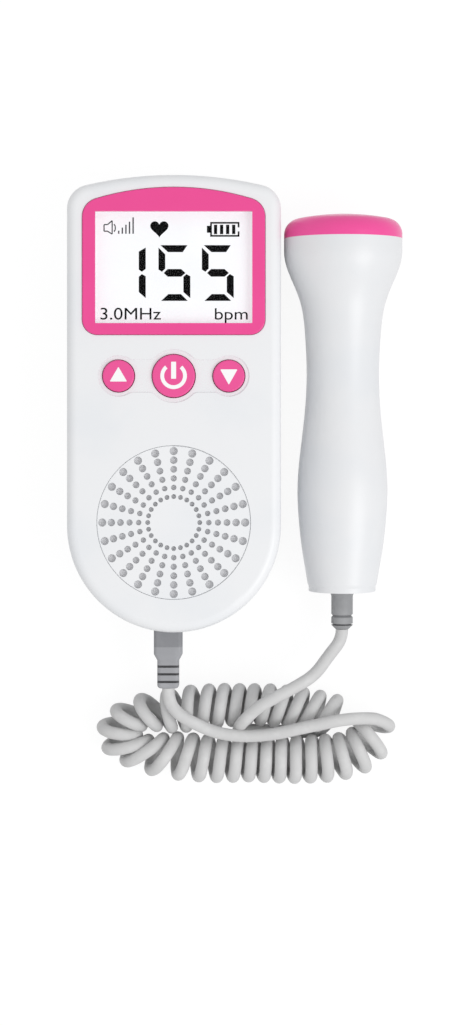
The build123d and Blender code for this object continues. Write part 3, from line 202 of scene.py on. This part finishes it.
class Field:
    """What a node puts out; arithmetic on a number adds Math nodes to its tree."""

    def __init__(self, shading, socket):
        self.shading, self.socket = shading, socket

    def maths(self, operation, *values):
        return self.shading.add("ShaderNodeMath", {"operation": operation}, dict(enumerate(values)))

    def __add__(self, other):
        return self.maths("ADD", self, other)

    def __sub__(self, other):
        return self.maths("SUBTRACT", self, other)

    def __rsub__(self, other):
        return self.maths("SUBTRACT", other, self)

    def __mul__(self, other):
        return self.maths("MULTIPLY", self, other)

    def __truediv__(self, other):
        return self.maths("DIVIDE", self, other)

    def __abs__(self):
        return self.maths("ABSOLUTE", self)

    __radd__ = __add__
    __rmul__ = __mul__

    def modulo(self, other):
        return self.maths("FLOORED_MODULO", self, other)

    def smooth(self, low, high):
        """0 below low and 1 above high, with a soft step between."""
        return self.shading.add("ShaderNodeMapRange", {"interpolation_type": "SMOOTHSTEP"},
                                {"Value": self, "From Min": low, "From Max": high})

    def near(self, value, inner, outer):
        """1 within inner of a value and 0 further from it than outer."""
        return 1 - abs(self - value).smooth(inner, outer)


class Shading:
    """A node tree; values go on its nodes' sockets and fields are linked to them."""

    def __init__(self, tree):
        self.tree = tree

    def feed(self, node, inputs):
        for key, value in inputs.items():
            if isinstance(value, Field):
                self.tree.links.new(value.socket, node.inputs[key])
            else:
                node.inputs[key].default_value = value

    def add(self, kind, settings=None, inputs=None, output=0):
        """A node of that kind: its settings first, then the values or links of its sockets."""
        node = self.tree.nodes.new(kind)
        for key, value in (settings or {}).items():
            setattr(node, key, value)
        self.feed(node, inputs or {})
        return Field(self, node.outputs[output])


class Finish(Shading):
    """A material with one Principled shader, whose sockets also take values by name."""

    def __init__(self, name, colour, roughness, **values):
        self.material = bpy.data.materials.new(name)
        self.material.use_nodes = True
        super().__init__(self.material.node_tree)
        self.shader = self.tree.nodes["Principled BSDF"]
        self.colour = colour
        self.roughness = roughness
        named = {key.replace("_", " ").title().replace("Ior", "IOR"): value for key, value in values.items()}
        self.feed(self.shader, {"Base Color": colour, "Roughness": roughness, **named})
        self.place = self.add("ShaderNodeTexCoord", output="Object")

    def noise(self, size, detail=2.0):
        """Noise from 0 to 1 with spots of about size, in millimetres."""
        return self.add("ShaderNodeTexNoise",
                        inputs={"Vector": self.place, "Scale": 1 / (size * MM), "Detail": detail})

    def along(self, axis):
        """The place along X, Y or Z, in millimetres."""
        return self.add("ShaderNodeSeparateXYZ", inputs={"Vector": self.place}, output=axis) / MM

    def tint(self, share, other, base=None):
        """Mixes another colour into the surface by a share from 0 to 1."""
        colours = {MIX_SHARE: share, MIX_FIRST: base or self.colour, MIX_SECOND: other}
        mixed = self.add("ShaderNodeMix", {"data_type": "RGBA"}, colours, output=MIX_RESULT)
        self.feed(self.shader, {"Base Color": mixed})
        return mixed

    def vary_gloss(self, share, amount):
        """Roughness that wanders by amount either way of the finish's own."""
        self.feed(self.shader, {"Roughness": share * (2 * amount) + (self.roughness - amount)})

    def relief(self, height, depth):
        """A bump of that depth in millimetres where the height goes from 0 to 1."""
        bump = self.add("ShaderNodeBump", inputs={"Height": height, "Distance": depth * MM, "Strength": 1.0})
        self.feed(self.shader, {"Normal": bump})

    def dress(self, *pieces):
        """Puts this finish on pieces, or on CAD nodes by name."""
        for piece in pieces:
            target = cad_nodes[piece] if isinstance(piece, str) else piece
            if not target.material_slots:
                target.data.materials.append(self.material)
            for slot in target.material_slots:
                slot.material = self.material


# the fine groove where two moulded halves meet
GROOVE_SHADE = paint(168, 170, 174)
GROOVE_SHARE = 0.6  # of that shade
GROOVE_INNER = 0.05
GROOVE_OUTER = 0.16
GROOVE_FALL = 6  # how many times deeper it is than the skin's texture
PARTING_Z = 17.0  # where the front cover meets the rear one
PROBE_RISE = 0.0566  # the probe lies at a slight slope, so the joint of its halves climbs with y
PROBE_JOINT_Z = 14.94  # the height of that joint at y = 0

# painted shade in the slot recesses of the two strain reliefs
SLOT_PAINTED_SHADE = paint(108, 108, 111)
PLUG_SLOTS_Y = -79.0  # the middle one of three
PLUG_SLOT_PITCH = 2.25
PLUG_SLOTS_REACH = 3.0
PROBE_SLOT = -64.05  # both along the probe's slope
PROBE_NOTCH = -61.5
PROBE_NOTCH_SHARE = 0.5  # the notch is shallow, so its painted shade is lighter


def moulded(name, colour, other, roughness, texture, depth, parting=None, **values):
    """Moulded plastic: a fine spark-eroded skin, with slight flow marks in its colour and gloss.

    parting gives how far a place is from the joint between two halves, which shows as a fine groove.
    """
    finish = Finish(name, colour, roughness, **values)
    flow = finish.tint(finish.noise(24, 3).smooth(0.42, 0.68), other)
    finish.vary_gloss(finish.noise(7, 3), 0.035)
    skin = finish.noise(texture, 3)
    if parting:
        groove = parting(finish).near(0.0, GROOVE_INNER, GROOVE_OUTER)
        finish.tint(groove * GROOVE_SHARE, GROOVE_SHADE, base=flow)
        skin = skin - groove * GROOVE_FALL
    finish.relief(skin, depth)
    return finish


def unit_parting(finish):
    """How far a place is above the joint between the unit's covers."""
    return finish.along("Z") - PARTING_Z


def probe_parting(finish):
    """How far a place is above the joint between the probe's halves."""
    return finish.along("Z") - finish.along("Y") * PROBE_RISE - PROBE_JOINT_Z


def rubber(name, colour, dusty, roughness, texture=0.35, depth=0.02, slot_shade=None):
    """Soft rubber or cable jacket with a dusty bloom; the last argument gives how far a place is in a slot
    recess, which gets painted shade.
    """
    finish = Finish(name, colour, roughness, specular_ior_level=0.35)
    bloom = finish.tint(finish.noise(4, 4).smooth(0.45, 0.75), dusty)
    # painted shade darkens the slot recesses
    if slot_shade:
        finish.tint(slot_shade(finish), SLOT_PAINTED_SHADE, base=bloom)
    finish.vary_gloss(finish.noise(1.6), 0.05)
    finish.relief(finish.noise(texture), depth)
    return finish


def plug_boot_slot_shade(finish):
    """1 in the three slot recesses across the plug's strain relief, where shade is painted."""
    y = finish.along("Y")
    in_pitch = (y - (PLUG_SLOTS_Y - PLUG_SLOT_PITCH / 2)).modulo(PLUG_SLOT_PITCH)
    in_reach = y.near(PLUG_SLOTS_Y, PLUG_SLOTS_REACH, PLUG_SLOTS_REACH + 0.1)
    return in_pitch.near(PLUG_SLOT_PITCH / 2, 0.29, 0.36) * in_reach


def probe_boot_slot_shade(finish):
    """1 in the narrow slot round the probe's strain relief, and less in the notch beside it, where shade is
    painted.
    """
    along_probe = finish.along("Y") + finish.along("Z") * PROBE_RISE
    notch = along_probe.near(PROBE_NOTCH, 0.1, 0.5)
    return along_probe.near(PROBE_SLOT, 0.2, 0.27) + notch * PROBE_NOTCH_SHARE


def metal(name, colour, roughness):
    """Plain metal with a fine grain."""
    finish = Finish(name, colour, roughness, metallic=1.0)
    finish.vary_gloss(finish.noise(0.8, 3), 0.08)
    finish.relief(finish.noise(0.3), 0.004)
    return finish


white_shell = moulded("white_shell_plastic", paint(237, 238, 240), paint(233, 235, 238), 0.36, 0.28, 0.012,
                      parting=unit_parting)
pink_trim = moulded("pink_trim_plastic", paint(236, 68, 147), paint(239, 71, 151), 0.34, 0.3, 0.008)
pink_key = moulded("pink_key_rubber", paint(236, 78, 151), paint(232, 75, 147), 0.42, 0.22, 0.012)
pink_cap = moulded("pink_cap_plastic", paint(241, 73, 156), paint(238, 70, 152), 0.3, 0.3, 0.006,
                   coat_weight=0.1)
probe_shell = moulded("probe_shell_plastic", paint(230, 231, 233), paint(226, 228, 231), 0.36, 0.28, 0.012,
                      parting=probe_parting)
white_grille = moulded("white_grille_plastic", paint(238, 239, 241), paint(234, 236, 239), 0.4, 0.28, 0.012)
white_mark = moulded("white_key_mark", paint(250, 250, 250), paint(246, 246, 247), 0.5, 0.2, 0.004)
dark_frame = moulded("dark_frame_plastic", paint(62, 64, 68), paint(54, 56, 60), 0.5, 0.3, 0.01)
socket_black = moulded("socket_black_plastic", paint(34, 35, 37), paint(42, 43, 46), 0.45, 0.3, 0.01)
chip_black = moulded("chip_black_resin", paint(30, 31, 33), paint(38, 39, 41), 0.6, 0.25, 0.015)

lens = Finish("clear_lens", paint(120, 121, 123), 0.06, alpha=0.02, specular_ior_level=0.12)
lens.vary_gloss(lens.noise(9), 0.02)

# the display glows as its backlight would, and brightly enough to wash out the shade its deep frame casts on it:
# partly painted light
glowing_display = Finish("glowing_display", paint(208, 210, 213), 0.45, emission_color=paint(252, 253, 255),
                       emission_strength=0.42)
glowing_display.tint(glowing_display.noise(16).smooth(0.4, 0.7), paint(204, 206, 209))
display_ink = Finish("display_ink", paint(5, 5, 6), 0.8, specular_ior_level=0.02)
display_ink.tint(display_ink.noise(3).smooth(0.4, 0.8), paint(9, 9, 10))
display_grey = Finish("display_grey_ink", paint(70, 70, 74), 0.7, specular_ior_level=0.05)
display_grey.tint(display_grey.noise(3).smooth(0.4, 0.8), paint(82, 82, 86))

TRACK_PITCH = 1.27
board_green = Finish("board_green_mask", paint(34, 92, 58), 0.3, coat_weight=0.4)
in_track = board_green.along("X").modulo(TRACK_PITCH).smooth(0.42, 0.5)
tracks = in_track * board_green.noise(6, 0).smooth(0.5, 0.52)
board_green.tint(tracks, paint(58, 122, 74))
board_green.relief(tracks, 0.03)

silicone = Finish("milky_silicone", paint(222, 224, 222), 0.55, subsurface_weight=0.2, subsurface_scale=MM)
silicone.tint(silicone.noise(5).smooth(0.4, 0.7), paint(212, 214, 211))
foam = rubber("black_foam", paint(44, 44, 46), paint(60, 60, 62), 0.9, 0.5, 0.25)
cone_paper = rubber("black_cone_paper", paint(36, 36, 38), paint(48, 48, 50), 0.85, 0.7, 0.08)
epoxy = rubber("black_epoxy", paint(40, 42, 46), paint(54, 56, 60), 0.35, 1.5, 0.03)

steel = metal("plated_steel", paint(190, 192, 196), 0.32)
nickel = metal("nickel_plate", paint(205, 203, 196), 0.24)
# painted shade for the screws' cross recesses
painted_recess_shade = metal("screw_recess_painted_shade", paint(72, 74, 78), 0.5)

# the cells' sleeve is dark up to a band round one end
BAND_X = 9.0
sleeve = Finish("cell_sleeve", paint(58, 60, 66), 0.28, coat_weight=0.5)
sleeve.tint(sleeve.along("X").smooth(BAND_X, BAND_X + 0.2), paint(208, 170, 108))
sleeve.vary_gloss(sleeve.noise(5), 0.04)

crystal = Finish("silvered_crystal", paint(196, 190, 178), 0.4, metallic=0.7)
crystal.tint(crystal.noise(1.2, 4).smooth(0.4, 0.7), paint(172, 166, 154))
crystal.vary_gloss(crystal.noise(1.2, 3), 0.08)

plug_dark = rubber("dark_plug_rubber", paint(138, 139, 143), paint(146, 147, 151), 0.55)
# the boots' slot recesses get painted shade
boot_grey = rubber("grey_boot_rubber", paint(158, 159, 163), paint(166, 167, 171), 0.55,
                   slot_shade=plug_boot_slot_shade)
probe_boot_grey = rubber("pale_boot_rubber", paint(150, 151, 153), paint(158, 159, 161), 0.55,
                         slot_shade=probe_boot_slot_shade)
lead_grey = rubber("grey_lead_jacket", paint(205, 205, 205), paint(213, 213, 213), 0.55, 0.6, 0.01)

# woven cloth behind the grille: two crossed sets of threads
THREAD_PITCH = 0.5
grille_cloth = Finish("grille_cloth", paint(212, 212, 214), 0.9, specular_ior_level=0.1)
warp, weft = (grille_cloth.along(axis).modulo(THREAD_PITCH).smooth(0.05, 0.3) for axis in "XY")
threads = warp * weft
grille_cloth.tint(threads, paint(220, 220, 222))
grille_cloth.relief(threads, 0.03)

for finish, *pieces in (
    (white_shell, "front_cover", "rear_cover", "battery_cover"),
    (pink_trim, "screen_bezel"),
    (pink_key, "key_up", "key_power", "key_down"),
    (white_grille, "grille_insert"),
    (grille_cloth, "grille_cloth"),
    (lens, "window_lens"),
    (glowing_display, "lcd_panel"),
    (dark_frame, "lcd_frame", "cable_clamp"),
    (silicone, "backlight", "dome_up", "dome_power", "dome_down"),
    (board_green, "main_board", "probe_board"),
    (chip_black, "board_chips"),
    (foam, "speaker_gasket"),
    (cone_paper, "speaker_cone"),
    (steel, "board_screws", "housing_screws", "speaker_basket", "speaker_magnet"),
    (nickel, "battery_contacts"),
    (sleeve, "battery_cells"),
    (socket_black, "probe_socket", "earphone_jack"),
    (probe_shell, "probe_shell_upper", "probe_shell_lower"),
    (pink_cap, "transducer_cap"),
    (crystal, "crystal_discs"),
    (epoxy, "crystal_backing"),
    (plug_dark, "cable_plug"),
    (boot_grey, "plug_boot"),
    (probe_boot_grey, "probe_boot"),
    (lead_grey, lead, "lead_unit", "curly_cord", "lead_probe"),
):
    finish.dress(*pieces)

# ---------------------------------------------------------------- display and key marks, in millimetres
DISPLAY_Z = 28.0
PRINT = 0.03  # the height of everything printed


def piece_of(name, shape, body, finish):
    """The finished object of a bmesh that is in millimetres."""
    bmesh.ops.scale(shape, vec=(MM, MM, MM), verts=shape.verts)
    bmesh.ops.recalc_face_normals(shape, faces=shape.faces)
    mesh = bpy.data.meshes.new(name)
    shape.to_mesh(mesh)
    shape.free()
    piece = in_scene(name, mesh)
    finish.dress(piece)
    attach(piece, body)
    return piece


def patch(shape, corners, x=0.0, y=0.0, z=DISPLAY_Z, rounding=0.0):
    """A flat printed patch with those corners about (x, y)."""
    face = shape.faces.new([shape.verts.new((x + px, y + py, z)) for px, py in corners])
    if rounding:
        bmesh.ops.bevel(shape, geom=list(face.verts), offset=rounding, segments=4, profile=0.5,
                        affect="VERTICES", material=-1)


def raised(shape):
    """Gives flat patches their height."""
    grown = bmesh.ops.extrude_face_region(shape, geom=list(shape.faces))
    tops = [part for part in grown["geom"] if isinstance(part, bmesh.types.BMVert)]
    bmesh.ops.translate(shape, vec=(0, 0, PRINT), verts=tops)


def block(left, bottom, right, top):
    """The corners of an upright rectangle."""
    return [(left, bottom), (right, bottom), (right, top), (left, top)]


# the reading
SEGMENTS = {
    "top": [(-4.05, 8.05), (3.75, 8.05), (2.4, 6.05), (-1.85, 6.05)],
    "upper_left": [(-4.6, 7.35), (-2.65, 5.4), (-2.65, 1.3), (-3.6, 0.35), (-4.6, 1.0)],
    "upper_right": [(4.6, 7.35), (2.6, 6.2), (2.6, 1.0), (3.5, 0.35), (4.6, 1.2)],
    "middle": [(-3.1, 0.0), (-1.95, 1.15), (1.95, 1.15), (3.2, 0.0), (1.95, -1.05), (-1.95, -1.05)],
    "lower_right": [(4.6, -0.95), (3.5, -0.3), (2.6, -1.1), (2.6, -5.5), (4.6, -7.25)],
    "bottom": [(-1.75, -6.1), (1.9, -6.1), (3.85, -8.05), (-3.85, -8.05)],
}
ONE = ("upper_right", "lower_right")
FIVE = ("top", "upper_left", "middle", "lower_right", "bottom")
READING = ((-12.75, ONE), (0.15, FIVE), (12.7, FIVE))  # each digit's middle and its lit segments
DIGIT_Y = 37.75

digits = bmesh.new()
for x, lit in READING:
    for name in lit:
        patch(digits, SEGMENTS[name], x=x, y=DIGIT_Y)
raised(digits)
piece_of("display_digits", digits, "root", display_ink)

# a heart, and a battery with four bars
HEART_PLACE = (-4.2, 50.75)
HEART_SCALE = 0.165
HEART_POINTS = 48
BATTERY_LEFT, BATTERY_LOW, BATTERY_RIGHT, BATTERY_HIGH = 10.5, 48.25, 18.95, 52.5
BATTERY_LINE = 0.48
BATTERY_GAP = (49.8, 50.95)  # a gap in the outline's right side
BATTERY_NUB = (9.55, 49.4, BATTERY_LEFT, 51.4)
BATTERY_BARS = 4
BATTERY_BAR = (11.58, 49.0, 12.52, 51.7)
BATTERY_BAR_STEP = 1.75


def heart():
    """The corners of a heart about its middle."""
    corners = []
    for turn in (2 * pi * i / HEART_POINTS for i in range(HEART_POINTS)):
        across = 16 * sin(turn) ** 3
        up = 13 * cos(turn) - 5 * cos(2 * turn) - 2 * cos(3 * turn) - cos(4 * turn)
        corners.append((across * HEART_SCALE, up * HEART_SCALE))
    return corners


def battery_outline():
    """The rectangles that make up the battery's outline and its nub."""
    inner_left, inner_right = BATTERY_LEFT + BATTERY_LINE, BATTERY_RIGHT - BATTERY_LINE
    inner_low, inner_high = BATTERY_LOW + BATTERY_LINE, BATTERY_HIGH - BATTERY_LINE
    return [
        (BATTERY_LEFT, BATTERY_LOW, BATTERY_RIGHT, inner_low),
        (BATTERY_LEFT, inner_high, BATTERY_RIGHT, BATTERY_HIGH),
        (BATTERY_LEFT, inner_low, inner_left, inner_high),
        (inner_right, inner_low, BATTERY_RIGHT, BATTERY_GAP[0]),
        (inner_right, BATTERY_GAP[1], BATTERY_RIGHT, inner_high),
        BATTERY_NUB,
    ]


icons = bmesh.new()
patch(icons, heart(), *HEART_PLACE)
for bar in range(BATTERY_BARS):
    patch(icons, block(*BATTERY_BAR), x=bar * BATTERY_BAR_STEP)
for side in battery_outline():
    patch(icons, block(*side))
raised(icons)
piece_of("display_icons", icons, "root", display_ink)

# a loudspeaker's outline with a small wave, and the rising bars of the volume
LOUDSPEAKER = [(-20.2, 49.85), (-19.2, 49.85), (-17.85, 49.0), (-17.85, 52.9), (-19.2, 51.75), (-20.2, 51.75)]
WAVE = [(-17.3, 49.7), (-16.95, 50.3), (-16.95, 51.3), (-17.3, 51.9)]
STROKE = 0.34
VOLUME_TOPS = (50.0, 50.9, 51.7, 52.6, 53.85)
VOLUME_LOW = 49.1
VOLUME_LEFT, VOLUME_RIGHT = -16.15, -15.75  # of the first bar
VOLUME_STEP = 1.04


def stroke(shape, line):
    """A line drawn from point to point."""
    for (ax, ay), (bx, by) in pairwise(line):
        length = hypot(bx - ax, by - ay)
        dx, dy = STROKE / 2 * (ay - by) / length, STROKE / 2 * (bx - ax) / length
        patch(shape, [(ax + dx, ay + dy), (ax - dx, ay - dy), (bx - dx, by - dy), (bx + dx, by + dy)])


sound = bmesh.new()
stroke(sound, LOUDSPEAKER + LOUDSPEAKER[:1])
stroke(sound, WAVE)
for bar, top in enumerate(VOLUME_TOPS):
    patch(sound, block(VOLUME_LEFT, VOLUME_LOW, VOLUME_RIGHT, top), x=bar * VOLUME_STEP)
raised(sound)
piece_of("display_sound_icon", sound, "root", display_grey)

# the words under the reading
CAPITAL = 0.729  # the height of the built-in face's capitals at size 1
WORDS_Y = 24.3


def words(name, text, left, cap_height, width):
    """Readout words in the built-in face, fitted to a width, as a raised mesh."""
    letters = bpy.data.curves.new(name, "FONT")
    letters.body = text
    holder = bpy.data.objects.new(name, letters)
    mesh = bpy.data.meshes.new_from_object(holder)
    bpy.data.objects.remove(holder)
    shape = bmesh.new()
    shape.from_mesh(mesh)
    bpy.data.meshes.remove(mesh)
    low = min(v.co.x for v in shape.verts)
    high = max(v.co.x for v in shape.verts)
    bmesh.ops.translate(shape, vec=(-low, 0, 0), verts=shape.verts)
    bmesh.ops.scale(shape, vec=(width / (high - low), cap_height / CAPITAL, 1), verts=shape.verts)
    bmesh.ops.translate(shape, vec=(left, WORDS_Y, DISPLAY_Z), verts=shape.verts)
    raised(shape)
    piece_of(name, shape, "root", display_ink)


words("display_band", "3.0MHz", -21.25, 3.6, 17.5)
words("display_unit", "bpm", 11.85, 3.5, 9.5)

# the marks on the keys: two triangles, and a broken ring with a bar
KEY_Y = 7.85
KEY_SPACING = 15.9
KEY_TOP = 30.65
RING_OUTER = 3.83
RING_INNER = 2.73
RING_GAP = radians(40)  # each way from the ring's top
RING_STEPS = 40
POWER_BAR = (-0.72, -0.85, 0.72, 4.05)
TRIANGLES = {
    "up": (-KEY_SPACING, [(-2.5, -1.65), (2.5, -1.65), (0.0, 2.6)]),
    "down": (KEY_SPACING, [(2.5, 1.85), (-2.5, 1.85), (0.0, -2.6)]),
}

for name, (x, corners) in TRIANGLES.items():
    mark = bmesh.new()
    patch(mark, corners, x=x, y=KEY_Y, z=KEY_TOP, rounding=0.3)
    raised(mark)
    piece_of(name + "_mark", mark, "button_" + name, white_mark)

power = bmesh.new()
arm = [power.verts.new((radius * sin(RING_GAP), KEY_Y + radius * cos(RING_GAP), KEY_TOP))
       for radius in (RING_INNER, RING_OUTER)]
bmesh.ops.spin(power, geom=[*arm, power.edges.new(arm)], cent=(0, KEY_Y, KEY_TOP), axis=(0, 0, -1),
               angle=2 * pi - 2 * RING_GAP, steps=RING_STEPS)
patch(power, block(*POWER_BAR), y=KEY_Y, z=KEY_TOP, rounding=0.15)
raised(power)
piece_of("power_mark", power, "button_power", white_mark)

# ---------------------------------------------------------------- domes under the keys, copied from the CAD nodes, in metres
DOUBLES = 0.000002

for name in ("up", "power", "down"):
    shape = bmesh.new()
    shape.from_mesh(cad_nodes["dome_" + name].data)
    bmesh.ops.remove_doubles(shape, verts=shape.verts, dist=DOUBLES)
    bmesh.ops.scale(shape, vec=(1 / MM, 1 / MM, 1 / MM), verts=shape.verts)
    dome = piece_of("soft_dome_" + name, shape, "root", silicone)
    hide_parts("dome_" + name)
    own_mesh(dome)

# ---------------------------------------------------------------- screws in the back, in millimetres
HOUSING_SCREWS = ((-25.4, 14.85), (25.4, 14.85), (-17.3, -54.2), (17.3, -54.2))
SCREW_FACE_Z = 3.0
CROSS_REACH = 1.35
CROSS_HALF_WIDTH = 0.28


def cross():
    """The corners of a cross recess, arm after arm."""
    corners = []
    for turn in range(4):
        for x, y in ((CROSS_HALF_WIDTH, CROSS_HALF_WIDTH), (CROSS_REACH, CROSS_HALF_WIDTH),
                     (CROSS_REACH, -CROSS_HALF_WIDTH)):
            for _ in range(turn):
                x, y = y, -x
            corners.append((x, y))
    return corners


# flat dark crosses on the screw heads: painted shade where their cross recesses would be
crosses = bmesh.new()
for x, y in HOUSING_SCREWS:
    patch(crosses, cross(), x=x, y=y, z=SCREW_FACE_Z - PRINT)
raised(crosses)
piece_of("housing_screw_crosses", crosses, "root", painted_recess_shade)

# ---------------------------------------------------------------- table and light
TABLE_Z = -0.00005  # just under the unit's flat back
TABLE_SIZE = 3.0
TABLE_MATT = (0.12, 0.12, 0.12, 1.0)  # what takes the shadow, as the camera sees the table
TABLE_GLOW = 0.91
SKY_STRENGTH = 0.79
WHITE = (1.0, 1.0, 1.0, 1.0)
LAMP_PLACE = Vector((0.60, -0.30, 0.72))
LAMP_AIM = Vector((0.02, -0.03, 0.0))


def background_rays(shading):
    """Over 0 for the rays that show a background: to the camera, in reflections and through clear pieces."""
    return sum(shading.add("ShaderNodeLightPath", output=f"Is {kind} Ray")
               for kind in ("Camera", "Glossy", "Transmission"))


def table_finish():
    """A pale table that is white to the camera, in reflections and through clear pieces, with a soft shadow."""
    finish = Finish("pale_table", paint(190, 190, 191), 0.8)
    finish.tint(finish.noise(60).smooth(0.3, 0.7), paint(194, 194, 195))
    matt = finish.add("ShaderNodeBsdfDiffuse", inputs={"Color": TABLE_MATT})
    glow = finish.add("ShaderNodeEmission", inputs={"Strength": TABLE_GLOW})
    white = finish.add("ShaderNodeAddShader", inputs={0: matt, 1: glow})
    pale = Field(finish, finish.shader.outputs["BSDF"])
    mixed = finish.add("ShaderNodeMixShader", inputs={0: background_rays(finish), 1: pale, 2: white})
    finish.feed(finish.tree.nodes["Material Output"], {"Surface": mixed})
    return finish


table = bmesh.new()
bmesh.ops.create_grid(table, x_segments=1, y_segments=1, size=TABLE_SIZE,
                      matrix=Matrix.Translation((0, 0, TABLE_Z)))
table_mesh = bpy.data.meshes.new("table")
table.to_mesh(table_mesh)
table.free()
table_top = in_scene("table", table_mesh)
table_finish().dress(table_top)

world = bpy.data.worlds.new("studio")
world.use_nodes = True
bpy.context.scene.world = world
studio = Shading(world.node_tree)
sky = studio.tree.nodes["Background"]
studio.feed(sky, {"Color": WHITE, "Strength": SKY_STRENGTH})
bright = studio.add("ShaderNodeBackground", inputs={"Color": WHITE, "Strength": 1.0})
backdrop = studio.add("ShaderNodeMixShader", inputs={
    0: background_rays(studio), 1: Field(studio, sky.outputs["Background"]), 2: bright})
studio.feed(studio.tree.nodes["World Output"], {"Surface": backdrop})

lamp = bpy.data.lights.new("key_light", "AREA")
lamp.size = 0.5
lamp.energy = 2.9
key_light = in_scene("key_light", lamp)
key_light.location = LAMP_PLACE
key_light.rotation_euler = (LAMP_AIM - LAMP_PLACE).to_track_quat("-Z", "Y").to_euler()

bpy.context.scene.view_settings.view_transform = "Standard"
